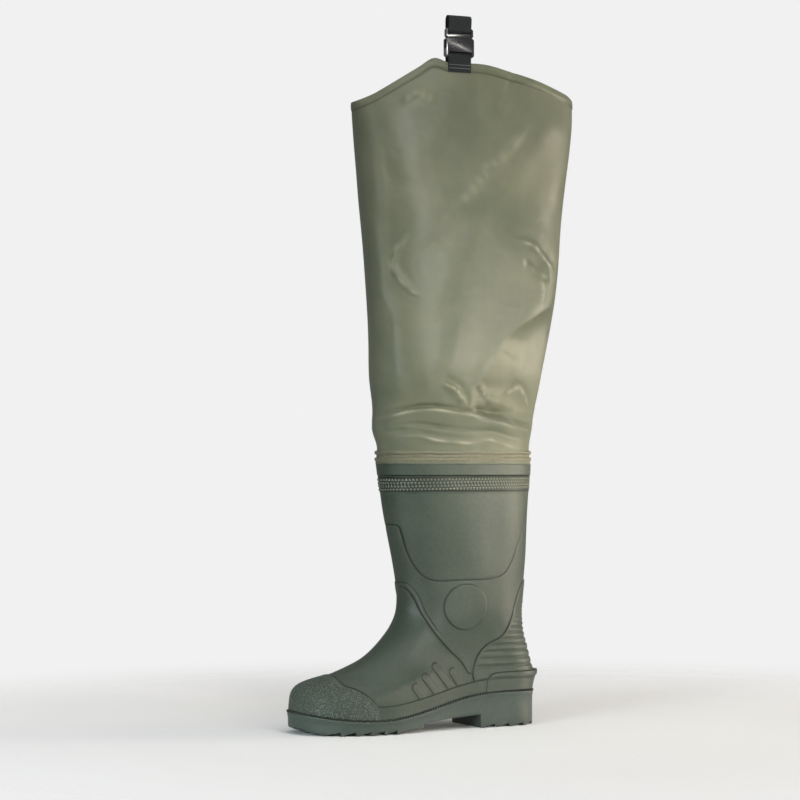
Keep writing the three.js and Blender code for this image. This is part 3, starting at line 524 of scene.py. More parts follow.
def webbingFinish(name):
    material, nodes, links, shader = newMaterial(name)
    place = nodes.new('ShaderNodeTexCoord').outputs["UV"]
    twill = node(nodes, 'ShaderNodeTexWave', Scale=1.0, Distortion=0.4)
    turn = nodes.new('ShaderNodeMapping')
    turn.inputs["Rotation"].default_value = (0, 0, math.radians(35))
    turn.inputs["Scale"].default_value = (1.9, 1.9, 1.9)
    links.new(place, turn.inputs["Vector"])
    links.new(turn.outputs["Vector"], twill.inputs["Vector"])
    links.new(mixColours(nodes, links, twill.outputs["Fac"], (0.004, 0.005, 0.006), (0.032, 0.038, 0.04)),
              shader.inputs["Base Color"])
    shader.inputs["Roughness"].default_value = 0.78
    shader.inputs["Specular IOR Level"].default_value = 0.18
    links.new(bumped(nodes, links, twill.outputs["Fac"], 0.0005, 0.9), shader.inputs["Normal"])
    return material


shellRubber = bootRubber("bootShellRubber", shell=True)
soleRubber = bootRubber("soleRubber", dark=(0.030, 0.044, 0.034), light=(0.054, 0.073, 0.058))
bandRubber = bootRubber("bandRubber", dark=(0.095, 0.096, 0.058), light=(0.15, 0.148, 0.095))
# painted highlight: the studs and the collar beads use a much lighter copy of the boot rubber, standing in for the
# light they catch
studHighlightRubber = bootRubber("studHighlightRubber", dark=(0.10, 0.115, 0.08), light=(0.15, 0.165, 0.115))
outerCloth = coatedCloth("outerCloth")
innerCloth = coatedCloth("innerCloth", outer=False)
insoleCloth = plainFinish("insoleCloth", (0.2, 0.2, 0.13), (0.3, 0.3, 0.21), 0.9, scale=400, bumpDepth=0.0003)
# painted shade: the welt's near-black colour stands in for the shade of the joint's groove
weltShade = plainFinish("weltShadeRubber", (0.006, 0.007, 0.006), (0.012, 0.014, 0.011), 0.6)
webbing = webbingFinish("blackWebbing")
glossPlastic = plainFinish("buckleGloss", (0.008, 0.008, 0.009), (0.014, 0.014, 0.016), 0.22, scale=300,
                           bumpDepth=0.00004, coat=0.6)
threadFinish = plainFinish("paleThread", (0.2, 0.22, 0.21), (0.3, 0.32, 0.31), 0.8, scale=500)
print("materials made")


# boot shell
relief = dict(
    columns=340, capStep=1.2, foxingStep=0.8, foxingHeight=16, cupStep=1.2, cupHeight=23, spur=5.5,
    panelStep=1.3, ribDepth=1.1, ribPitch=7.2, ribTaper=0.93, discRadius=26.5, discStep=0.9,
    beadStep=0.9, beadWidth=5, barStep=0.8, grooveDepth=0.5,
    toeCap=[(0.86, 0.28), (0.845, 0.192), (0.815, 0.174), (0.782, 0.152), (0.76, 0.13), (0.745, 0.105),
            (0.735, 0.05), (0.733, -0.02)],
    ribPanel=[(0.02, 0.56), (0.075, 0.545), (0.11, 0.5), (0.127, 0.46), (0.15, 0.4), (0.19, 0.348),
              (0.25, 0.318), (0.288, 0.283), (0.308, 0.24), (0.314, 0.2), (0.3, 0.16)],
    bead=[(0.585, 0.54), (0.56, 0.545), (0.532, 0.5), (0.507, 0.43), (0.472, 0.37), (0.422, 0.315),
          (0.362, 0.262), (0.327, 0.215)],
    shaftLine=[(0.64, 0.772), (0.6, 0.77), (0.585, 0.735), (0.57, 0.68), (0.55, 0.63), (0.515, 0.58),
               (0.47, 0.563), (0.37, 0.564), (0.25, 0.568), (0.19, 0.585), (0.15, 0.63), (0.12, 0.69),
               (0.085, 0.76)],
    bars=[((137, 51), (127, 39)), ((123, 62), (105, 42)), ((107.5, 73), (85, 47)), ((84, 66), (74, 53))],
    barWidth=10)


def onSide(rows):
    return [(along(x), boot["height"] * z) for x, z in rows]


def shellFields(x, z):
    # signed distances in mm to the moulded outlines on the boot's sides
    cap = rounded(onSide(relief["toeCap"])) + [(soleFront + 20, -6), (soleFront + 20, boot["height"] * 0.28)]
    rear = rounded(onSide(relief["ribPanel"]))
    rear += [(soleBack - 20, boot["height"] * 0.16), (soleBack - 20, boot["height"] * 0.57)]
    low = jointHeight(np.array(0.0))
    high = low + relief["cupHeight"]
    cup = rounded([(40, 0), (39, low), (36.5, high - 8), (29, high - 1.5), (8, high), (-30, high)])
    bead, _, beadPlace = distanceToLine(x, z, rounded(onSide(relief["bead"])))
    shaft, side, shaftPlace = distanceToLine(x, z, rounded(onSide(relief["shaftLine"])))
    bars = np.full(x.shape, -50.0)
    for head, foot in relief["bars"]:
        reach, _, _ = distanceToLine(x, z, [head, foot])
        bars = np.maximum(bars, relief["barWidth"] / 2 - reach)
    fields = dict(
        capEdge=inside(x, z, cap),
        foxingEdge=jointHeight(np.clip(x, along(0.14), None)) + relief["foxingHeight"] - z,
        cupEdge=inside(x, z, cup + [(-70, high), (-70, 0)]),
        panelEdge=inside(x, z, rear),
        discEdge=relief["discRadius"] - np.hypot(x - along(0.357), z - boot["height"] * 0.462),
        beadEdge=relief["beadWidth"] / 2 - bead,
        barEdge=bars,
        shaftEdge=shaft * side,
        bandEdge=7.6 - np.abs(z - (boot["height"] - 23)),
        collarEdge=z - (boot["height"] - 13.2))
    # where a line ends or runs under another form
    outCap = smooth(0.5, -0.5, fields["capEdge"])
    above = smooth(0.5, -0.5, fields["foxingEdge"])
    shown = dict(
        foxingEdge=outCap * smooth(0.5, -0.5, fields["cupEdge"]), panelEdge=above,
        beadEdge=smooth(0, 0.03, beadPlace) * above, barEdge=above,
        shaftEdge=smooth(0, 0.02, shaftPlace) * smooth(1, 0.98, shaftPlace))
    return fields, shown


def bootRelief(x, z):
    # height of the moulded steps over the plain surface
    fields, shown = shellFields(x, z)
    steps = dict(capEdge="capStep", foxingEdge="foxingStep", cupEdge="cupStep", panelEdge="panelStep",
                 discEdge="discStep", beadEdge="beadStep", barEdge="barStep")
    h = np.zeros(x.shape)
    for name, step in steps.items():
        h += relief[step] * smooth(-0.7, 0.7, fields[name]) * shown.get(name, 1)
    level = z - 66.0
    pitch = relief["ribPitch"] * 1.25
    ribs = np.zeros(x.shape)
    for i in range(12):
        ribs += np.exp(-((level - pitch / 2) / (pitch * 0.2)) ** 2)
        level = level - pitch
        pitch *= relief["ribTaper"]
    fade = smooth(2, 6, fields["panelEdge"]) * smooth(165, 135, z)
    h -= relief["ribDepth"] * ribs * fade
    h -= relief["grooveDepth"] * np.exp(-(fields["shaftEdge"] / 0.9) ** 2) * shown["shaftEdge"]
    # slight unevenness of the moulding
    h += 0.35 * np.sin(x * 0.041 + z * 0.033) + 0.25 * np.sin(x * 0.083 - z * 0.052 + 1.0)
    return h


def buildShell():
    outer = np.concatenate([np.linspace(0, 0.1, 20)[:-1], np.linspace(0.1, 0.3, 86)[:-1],
                            np.linspace(0.3, 0.88, 92)[:-1], np.linspace(0.88, 1.0, 46)])
    rows = [(0, -2.5, 0), (0, -1.4, 0), (0, -0.4, 0)]          # level, offset, relief
    rows += [(level, 0, 1) for level in outer]
    spigot = (boot["height"] + joint["spigot"]) / boot["height"]
    rows += [(1.0, -0.6, 0), (1.0002, -1.6, 0), (1.0004, -2.3, 0), (1.02, -2.3, 0), (spigot, -2.3, 0),
             (spigot, -4.3, 0), (1.0, -4.3, 0), (0.99, -4.3, 0), (0.96, -3.2, 0), (0.93, -2.5, 0)]
    rows += [(level, -2.5, 0) for level in np.linspace(0.9, 0.3, 12)]
    rows += [(level, -2.5, 0) for level in np.linspace(0.28, 0.0, 12)]
    levels = np.array([row[0] for row in rows])
    offsets = np.array([row[1] for row in rows], float)
    raised = np.array([row[2] for row in rows], float)
    columns = relief["columns"]

    def place(u, v):
        t = (u % columns) / columns
        turn = t + 0.3 * np.sin(4 * math.pi * t) / (4 * math.pi)
        level = levels[v]
        base = bootPoint(turn, level)
        normal = bootNormal(turn, np.clip(level, 0, 1))
        h = bootRelief(base[:, 0], base[:, 2])
        # spur at the top of the heel cup
        low = jointHeight(np.array(0.0))
        high = low + relief["cupHeight"]
        rise = np.clip((base[:, 2] - low) / (high - 3 - low), 0, 1) * smooth(0.3, -0.3, base[:, 2] - high - 0.3)
        behind = np.clip(-base[:, 0] / sole["heelToBack"], 0, 1) ** 2
        # bands under the collar
        band = base[:, 2] - boot["height"]
        h += 0.5 * smooth(-31.0, -30.2, band) * smooth(-14.6, -15.4, band)
        for line in (-31.6, -14.4):
            h += 0.45 * np.exp(-((band - line) / 0.6) ** 2)
        h += 0.9 * smooth(-13.4, -12.6, band)
        h *= raised[v]
        moved = base + normal * (offsets[v] + h)[:, None]
        moved[:, 0] -= relief["spur"] * rise * behind * raised[v]
        floorLine = jointHeight(moved[:, 0]) + boot["gap"]
        moved[:, 2] = np.where(level <= 0, floorLine, moved[:, 2])
        return moved

    shell = gridPiece("bootShell", columns, len(rows) - 1, place)
    points = meshPoints(shell) / mm
    fields, shown = shellFields(points[:, 0], points[:, 2])
    for name, values in fields.items():
        # a hidden line keeps its sign but is pressed into nothing
        hidden = 1 - shown.get(name, np.ones(values.shape))
        values = np.clip(values + np.where(values < 0, -8, 8) * hidden, -12, 12)
        setAttribute(shell, name, values)
    setUv(shell, 60, 40)
    finishPiece(shell, shellRubber)
    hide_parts("boot_upper")


buildShell()
print("boot shell built")


# studs of the relief band under the collar, modelled once and set around the shaft
studs = dict(rows=4, pitch=4.1, radius=2.25, low=-28.4, rowGap=3.6)


def buildStuds():
    deselect()
    bpy.ops.mesh.primitive_cone_add(vertices=3, radius1=studs["radius"], radius2=1.35, depth=1.0)
    pattern = bpy.context.object
    bpy.ops.object.mode_set(mode='EDIT')
    bpy.ops.mesh.select_all(action='SELECT')
    bpy.ops.mesh.bevel(offset=0.25, segments=1, affect='EDGES')
    bpy.ops.object.mode_set(mode='OBJECT')
    stud = np.array([vertex.co[:] for vertex in pattern.data.vertices])
    faces = [list(polygon.vertices) for polygon in pattern.data.polygons]
    bpy.data.objects.remove(pattern)
    points, polygons = [], []
    for row in range(studs["rows"]):
        z = boot["height"] + studs["low"] + row * studs["rowGap"]
        level = np.array((z - 25) / (boot["height"] - 25))
        ring = np.linspace(0, 1, 2001)
        path = bootPoint(ring, np.full(ring.shape, level))
        run = np.concatenate([[0], np.cumsum(np.linalg.norm(np.diff(path, axis=0), axis=1))])
        count = int(run[-1] // studs["pitch"])
        for k in range(count):
            turn = np.interp((k + 0.5 * (row % 2)) * run[-1] / count, run, ring)
            at = bootPoint(np.array([turn]), np.array([level]))[0]
            normal = bootNormal(np.array([turn]), np.array([level]))[0]
            side = np.cross([0, 0, 1], normal)
            side /= np.linalg.norm(side)
            up = np.cross(normal, side)
            flip = 1 if row % 2 else -1
            start = len(points)
            for a, b, c in stud:
                points.append(at + side * a * flip + up * b * flip + normal * (c + 0.75))
            polygons += [[start + i for i in face] for face in faces]
    mesh = bpy.data.meshes.new("reliefStuds")
    mesh.from_pydata([tuple(p * mm) for p in points], [], polygons)
    piece = bpy.data.objects.new("reliefStuds", mesh)
    bpy.context.collection.objects.link(piece)
    # painted highlight: the studs get the pale stud rubber
    finishPiece(piece, studHighlightRubber, angle=35)


buildStuds()
print("relief band built")


# sole
tread = dict(lugDepth=5.2, lugPitch=16, lugReach=26, heelLug=3.6, heelPitch=19, heelReach=19, heelLength=85,
             arch=15.5, channelWidth=4.5, channelDepth=3.4, pad=36, foreRear=0.61)


def soleBottom(x):
    toe = np.clip((x - along(0.84)) / (soleFront - along(0.84)), 0, 1.1)
    return 11 * toe ** 3.5


def treadHeight(x, y):
    # height of the underside: arch, saw-tooth lugs along the edges, cross grooves in the middle
    z = soleBottom(x)
    breast = soleBack + tread["heelLength"]
    foreRear = along(tread["foreRear"])
    archLine = np.interp(x, [breast - 0.2, breast + 0.2, along(0.42), along(0.54), along(0.545),
                             foreRear - 2, foreRear - 0.2, foreRear + 0.2],
                         [0, tread["arch"], tread["arch"] * 0.84, tread["arch"] * 0.6,
                          tread["lugDepth"] * 0.87, tread["lugDepth"] * 0.83, tread["lugDepth"] * 0.83, 0])
    inArch = (x > breast) & (x < foreRear)
    z = np.where(inArch, np.maximum(z, archLine), z)
    # forefoot lugs: a ramp down towards the toe from each upright face, with a half step in it
    pitch = tread["lugPitch"]
    reach = np.abs(y)
    edgeBand = reach > sole["ballWidth"] / 2 - tread["lugReach"]
    phase = (x - foreRear) % pitch
    lift = tread["lugDepth"] * np.clip(1 - phase / (pitch * 0.8), 0, 1)
    lift = np.where((phase > pitch * 0.42) & (phase < pitch * 0.8), lift + 0.9, lift)
    fore = (x > foreRear) & (x < soleFront - pitch + pitch * 0.8) & edgeBand
    z = np.where(fore, z + lift, z)
    # heel lugs
    pitch = tread["heelPitch"]
    phase = (x - (breast - pitch)) % pitch
    lift = tread["heelLug"] * np.clip(1 - phase / (pitch * 0.8), 0, 1)
    heelBand = reach > sole["heelWidth"] / 2 - tread["heelReach"]
    heel = (x < breast - 0.5) & heelBand
    z = np.where(heel, z + lift, z)
    # cross grooves in the middle strip
    wide = reach < tread["pad"] / 2 + 2
    ball = along(0.728)
    starts = [ball + tread["pad"] / 2, ball + tread["pad"] / 2 + tread["lugPitch"],
              ball - tread["pad"] / 2 - tread["channelWidth"],
              ball - tread["pad"] / 2 - tread["lugPitch"] - tread["channelWidth"],
              sole["heelToBack"] - 12 - tread["channelWidth"], -tread["pad"] / 2 - tread["channelWidth"]]
    for start in starts:
        groove = (x > start) & (x < start + tread["channelWidth"]) & wide
        z = np.where(groove, np.maximum(z, tread["channelDepth"]), z)
    return z


def buildSole():
    # stations along the sole, with a close pair at each upright face of the tread
    foreRear = along(tread["foreRear"])
    breast = soleBack + tread["heelLength"]
    marks = [foreRear + i * tread["lugPitch"] for i in range(8)]
    marks += [m + tread["lugPitch"] * s for m in marks for s in (0.42, 0.8)]
    marks += [breast - i * tread["heelPitch"] for i in range(5)]
    marks += [m + tread["heelPitch"] * 0.8 for m in marks[-5:]]
    ball = along(0.728)
    for start in (ball + 18, ball + 34, ball - 22.5, ball - 38.5, 22.5, -22.5):
        marks += [start, start + tread["channelWidth"]]
    marks += [along(0.54), along(0.545), foreRear - 2]
    ends = [soleBack + (soleFront - soleBack) * (1 - math.cos(math.pi * i / 60)) / 2 for i in range(61)]
    stations = sorted(set([round(x, 3) for x in ends if x < soleBack + 14 or x > soleFront - 14]
                          + [round(x, 3) for x in np.arange(soleBack + 14, soleFront - 14, 1.6)]
                          + [round(m + s, 3) for m in marks for s in (-0.12, 0.12)
                             if soleBack + 1 < m < soleFront - 1]))
    stations = np.array([x for i, x in enumerate(stations) if i == 0 or x - stations[i - 1] > 0.05])
    turns = np.arccos(np.clip(1 - 2 * (stations - soleBack) / (soleFront - soleBack), -1, 1)) / (2 * math.pi)
    # section: bottom across, outer wall up, top across, inner wall down
    across = 66
    lines = [  # share of the height below the rim line, below the joint in mm, how far out
        (0, 5.6, -1.7), (0.015, 5.6, -1.2), (0.05, 5.6, -0.9), (0.3, 5.6, -0.8), (0.65, 5.6, -0.8),
        (1, 5.6, -0.6), (1, 4.6, -0.4), (1, 3.4, -0.15), (1, 2.4, 0), (1, 1.6, 0), (1, 0.9, -0.1),
        (1, 0.4, -0.35), (1, 0.1, -0.9), (1, 0, -1.6)]
    ring = [('bottom', i / across) for i in range(across + 1)]
    ring += [('outer', i) for i in range(len(lines))]
    ring += [('top', i / 10) for i in range(1, 10)]
    ring += [('inner', i) for i in range(len(lines) - 1, -1, -1)]

    def wall(turn, row, side):
        share, drop, grow = lines[row]
        point = bootPoint(turn if side > 0 else 1 - turn, np.zeros(turn.shape), sole["overhang"] + grow)
        top = jointHeight(point[:, 0]) - drop
        low = treadHeight(point[:, 0], point[:, 1])
        point[:, 2] = low + (top - low) * share
        return point

    def place(u, v):
        turn = turns[v]
        result = np.zeros((len(u), 3))
        for k, (kind, value) in enumerate(ring + ring[:1]):
            chosen = u == k
            t = turn[chosen]
            if kind in ('outer', 'inner'):
                result[chosen] = wall(t, value, 1 if kind == 'outer' else -1)
            else:
                row = 0 if kind == 'bottom' else len(lines) - 1
                left, right = wall(t, row, 1), wall(t, row, -1)
                share = value if kind == 'bottom' else 1 - value
                point = right + (left - right) * share
                if kind == 'bottom':
                    point[:, 2] = treadHeight(point[:, 0], point[:, 1])
                    rim = np.minimum(share, 1 - share)
                    if rim < 1e-6:
                        point = left if share > 0.5 else right
                result[chosen] = point
        return result

    piece = gridPiece("soleTread", len(ring), len(stations) - 1, place)
    setUv(piece, 30, 30)
    finishPiece(piece, soleRubber, angle=32)
    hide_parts("outsole")


buildSole()
print("sole built")


# beaded line in the joint between sole and shell; the beads are real, their near-black colour is painted shade of the
# joint's groove
welt = dict(beads=265, thick=1.15, bulge=0.85)


def buildWelt():
    columns = welt["beads"] * 5

    def place(u, v):
        turn = (u % columns) / columns
        angle = v / 6 * 2 * math.pi
        radius = welt["thick"] + welt["bulge"] * np.cos(turn * welt["beads"] * 2 * math.pi)
        point = bootPoint(turn, np.zeros(turn.shape), 0.9)
        normal = bootNormal(turn, np.zeros(turn.shape))
        point = point + normal * (radius * np.cos(angle))[:, None]
        point[:, 2] = jointHeight(point[:, 0]) + 0.6 + radius * 0.9 * np.sin(angle)
        return point

    piece = gridPiece("weltBeads", columns, 6, place)
    finishPiece(piece, weltShade)


buildWelt()
print("welt built")


# insole
def buildInsole():
    rows = [(0, -3.6), (0, -3.1), (0.5, -3.0), (1, -3.3), (1, -4.2)]   # thickness share, offset
    across = 20
    ring = [('low', i / across) for i in range(across + 1)] + [('outer', i) for i in range(1, 4)]
    ring += [('high', 1 - i / across) for i in range(across + 1)] + [('inner', i) for i in range(3, 0, -1)]
    count = 110
    turns = np.arccos(np.clip(1 - 2 * np.linspace(0, 1, count + 1), -1, 1)) / (2 * math.pi)
    turns[0], turns[-1] = 0.002, 0.498

    def edge(turn, row, side):
        share, offset = rows[row]
        t = turn if side > 0 else 1 - turn
        point = bootPoint(t, np.zeros(t.shape)) + bootNormal(t, np.zeros(t.shape)) * offset
        point[:, 2] = jointHeight(point[:, 0]) + 0.5 + 3 * share
        return point

    def place(u, v):
        result = np.zeros((len(u), 3))
        for k, (kind, value) in enumerate(ring + ring[:1]):
            chosen = u == k
            t = turns[v[chosen]]
            if kind in ('outer', 'inner'):
                result[chosen] = edge(t, value, 1 if kind == 'outer' else -1)
            else:
                row = 0 if kind == 'low' else 4
                left, right = edge(t, row, 1), edge(t, row, -1)
                point = right + (left - right) * value
                point[:, 2] = jointHeight(point[:, 0]) + (0.5 if kind == 'low' else 3.5)
                result[chosen] = point
        return result

    piece = gridPiece("insoleSheet", len(ring), count, place)
    bpy.ops.object.mode_set(mode='EDIT')
    bpy.ops.mesh.select_all(action='DESELECT')
    bpy.ops.mesh.select_non_manifold()
    bpy.ops.mesh.fill_holes(sides=0)
    bpy.ops.object.mode_set(mode='OBJECT')
    finishPiece(piece, insoleCloth, angle=50)
    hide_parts("insole")


buildInsole()
print("insole built")


# cloth leg
legHeight = cloth["peak"] - boot["height"]
legInset = joint["inset"] - boot["gap"] - cloth["wall"]

# creases of the outer panel, in mm: points (x, z), how far out, half width to the left and right of the line,
# and the trough beyond its sharp side
creases = [
    ([(170, 352), (163, 355), (153, 359), (139, 363), (118, 365), (98, 363), (78, 360), (63, 358), (35, 352),
      (10, 346), (-26, 342)], 5.8, 15, 2.2, -4.2),
    ([(174, 337), (163, 338), (154, 340), (138, 343)], -3.4, 4, 4, 0),
    ([(174, 335), (163, 332), (158, 327), (148, 321)], -3.0, 4, 4, 0),
    ([(157, 333), (132, 335), (110, 330), (90, 328), (69, 327), (47, 331), (33, 328), (9, 323), (-24, 319)],
     4.6, 5, 2.6, -2.8),
    ([(160, 346), (130, 348), (100, 344), (70, 341), (40, 340), (10, 334), (-20, 331)], -3.6, 2.8, 4, 0),
    ([(68, 366), (53, 365), (36, 362), (18, 359), (-2, 351), (-26, 342)], -9.5, 4, 6, 0),
    ([(64, 377), (46, 376), (26, 374), (4, 366), (-24, 356)], 4.0, 5, 9, 0),
    ([(60, 396), (49, 382), (38, 371)], 3.2, 3.2, 7, -1.2),
    ([(20, 378), (8, 388), (-4, 391), (-17, 380), (-24, 368)], 3.2, 6, 3.2, -1.6),
    ([(106, 394), (92, 389), (84, 381), (75, 368)], 3.6, 8, 4, -1.6),
    ([(141, 566), (149, 556), (156, 543), (159, 528), (154, 515), (145, 503), (136, 496), (126, 495)],
     3.0, 2.6, 6, -0.8),
    ([(172, 700), (166, 650), (163, 620), (162, 590), (161, 550), (160, 510), (160, 480)], -2.6, 9, 22, 0),
    ([(172, 492), (166, 479), (163, 452), (162, 425), (161, 390), (161, 358)], -1.6, 5, 9, 0),
    ([(150, 706), (136, 722), (123, 718), (107, 712)], 2.4, 6, 8, 0),
    ([(-16, 704), (9, 674), (29, 652), (42, 645), (56, 641)], 3.0, 5, 8, 0),
    ([(40, 642), (60, 623), (86, 594)], 2.0, 7, 9, 0),
    ([(7, 759), (18, 727), (28, 698)], -2.6, 5, 7, 0),
    ([(14, 560), (-17, 556), (-34, 541), (-52, 528)], 3.4, 9, 5, -1.4),
    ([(-2, 538), (-23, 525), (-47, 517)], -2.8, 7, 7, 0),
    ([(-22, 521), (-32, 505), (-26, 488)], 1.8, 7, 8, 0),
]
# line where the cloth turns back, with a flat facet between it and the back fold
facetLine = [(71, 340), (71, 363), (71, 380), (67, 391), (56, 401), (45, 416), (36, 430), (24, 447), (9, 459),
             (-12, 470), (-40, 484), (-66, 497)]
innerCreases = [
    ([(165, 352), (130, 360), (95, 358), (60, 352), (20, 356), (-25, 350)], 4.0, 14, 4, -2.4),
    ([(150, 330), (110, 334), (70, 329), (30, 332), (-15, 322)], 2.6, 5, 5, 0),
    ([(40, 470), (70, 430), (84, 392), (88, 366)], 3.4, 4, 9, -1.4),
    ([(-30, 560), (0, 590), (44, 606), (90, 600)], -3.0, 9, 9, 0),
    ([(160, 650), (140, 600), (134, 540), (146, 480)], -3.4, 9, 9, 0),
    ([(10, 660), (40, 640), (80, 648)], 2.4, 5, 8, 0),
    ([(-20, 410), (20, 400), (46, 384)], -3.2, 5, 6, 0),
]


def crestHighlightShare(x, z, lines):
    # 1 on the crest of the sharp creases, for the painted highlight line in the shader
    share = np.zeros(x.shape)
    for points, depth, left, right, lip in lines:
        if depth > 0:
            sharp = lip or min(left, right) <= 3
            width, strength = (1.5, min(1, depth / 4)) if sharp else (5, 0.3)
            d, side, place = distanceToLine(x, z, rounded(points, 4))
            taper = smooth(0, 0.25, place) * smooth(1, 0.75, place) * (0.6 + 0.4 * np.sin(place * 31 + points[0][1]))
            share = np.maximum(share, np.exp(-(d / width) ** 2) * taper * strength)
    return share


def creaseHeight(x, z, lines):
    h = np.zeros(x.shape)
    for points, depth, left, right, lip in lines:
        d, side, place = distanceToLine(x, z, rounded(points, 4))
        full = 0.55 + 0.45 * np.sin(math.pi * place)          # a crease is thinner towards its ends
        width = np.where(side > 0, left, right) * full
        taper = smooth(0, 0.2, place) * smooth(1, 0.8, place) * (0.85 + 0.15 * np.sin(place * 19 + points[0][0]))
        h += depth * np.exp(-(d / width) ** 2 * 1.6) * taper
        if lip:
            sharp = min(left, right)
            beyond = np.where((side > 0) == (left < right), d, 99)
            h += lip * np.exp(-((beyond - sharp * 1.7) / (sharp * 1.1)) ** 2) * taper
    return h


def legPoint(turn, share):
    angle = turn * 2 * math.pi
    middle = curve(legRows, 1, share) * cloth["depth"] / 2
    depth = curve(legRows, 2, share) * cloth["depth"] / 2
    width = curve(legRows, 3, share) * cloth["width"] / 2
    flat = smooth(0.55, 1, share) * 0.22
    sine = np.sin(angle)
    acrossLeg = np.abs(sine) ** (1 + flat) * np.sign(sine)
    return np.stack([middle - depth * np.cos(angle), width * acrossLeg,
                     boot["height"] + legHeight * share + 0 * turn], -1)


def rimShare(turn):
    share = (1 - np.cos(turn * 2 * math.pi)) / 2
    return 1 + np.where(turn <= 0.5, curve(rimRows, 1, share), curve(rimRows, 2, share))


def legSurface(turn, share):
    rim = rimShare(turn)
    z = boot["height"] + legHeight * rim * share
    free = legPoint(turn, rim * share)
    collar = bootPoint(turn, np.ones(turn.shape))
    collar = collar - bootNormal(turn, np.ones(turn.shape)) * legInset
    top = boot["height"] + joint["spigot"] + 4
    loose = smooth(top, top + cloth["flare"], z)[:, None]
    point = collar * (1 - loose) + free * loose
    point[:, 2] = z
    return point, loose[:, 0]


def legNormal(turn, share):
    step = 0.003
    a, _ = legSurface(turn - step, share)
    b, _ = legSurface(turn + step, share)
    c, _ = legSurface(turn, np.clip(share + step, 0, 1))
    d, _ = legSurface(turn, np.clip(share - step, 0, 1))
    normal = np.cross(c - d, b - a)
    return normal / np.maximum(np.linalg.norm(normal, axis=-1, keepdims=True), 1e-9)


def clothHeight(point, turn, loose):
    # how far the cloth stands out of the plain tube: creases and slack
    x, z = point[:, 0], point[:, 2]
    h = np.where(turn <= 0.5, creaseHeight(x, z, creases), creaseHeight(x, z, innerCreases))
    slack = (np.sin(x * 0.043 + z * 0.021) * 0.9 + np.sin(x * 0.018 - z * 0.034 + 1.3) * 1.1
             + np.sin(x * 0.09 + z * 0.07 + 0.4) * 0.35)
    h += slack * smooth(340, 400, z)
    edge = np.abs(np.sin(turn * 2 * math.pi))
    return h * smooth(0.1, 0.5, edge) * loose


def flatten(point, turn):
    # the panels are flatter than an oval, with tighter folds
    share = (point[:, 2] - boot["height"]) / legHeight
    middle = curve(legRows, 1, share) * cloth["depth"] / 2
    depth = curve(legRows, 2, share) * cloth["depth"] / 2
    width = curve(legRows, 3, share) * cloth["width"] / 2
    u = np.clip(np.abs(point[:, 0] - middle) / depth, 0, 1)
    power = clothFinish["flatness"]
    out = (1 - u ** power) ** (1 / power) - np.sqrt(1 - u * u) ** (1 + smooth(0.55, 1, share) * 0.22)
    out *= smooth(345, 400, point[:, 2]) * smooth(758, 690, point[:, 2])
    return out * width * np.sign(np.sin(turn * 2 * math.pi))


def facetDrop(point, turn):
    # the flat facet: the cloth runs straight from the line to the back fold instead of bulging
    share = (point[:, 2] - boot["height"]) / legHeight
    middle = curve(legRows, 1, share) * cloth["depth"] / 2
    depth = curve(legRows, 2, share) * cloth["depth"] / 2
    width = curve(legRows, 3, share) * cloth["width"] / 2

    def depthAt(x):
        return width * np.sqrt(np.clip(1 - ((x - middle) / depth) ** 2, 0, 1))

    line = np.interp(point[:, 2], [p[1] for p in facetLine], [p[0] for p in facetLine])
    end = middle - depth * 0.96
    line = np.maximum(line, end + 1)
    t = np.clip((line - point[:, 0]) / (line - end), 0, 1)
    straight = depthAt(line) + (depthAt(end) - depthAt(line)) * t
    drop = np.minimum(straight - depthAt(point[:, 0]), 0) * (point[:, 0] < line) * (point[:, 0] > end)
    high = smooth(350, 366, point[:, 2]) * smooth(497, 470, point[:, 2])
    return np.where(turn <= 0.5, drop * high, 0)


legFit = dict(columns=230, hem=10, hemStep=0.6)


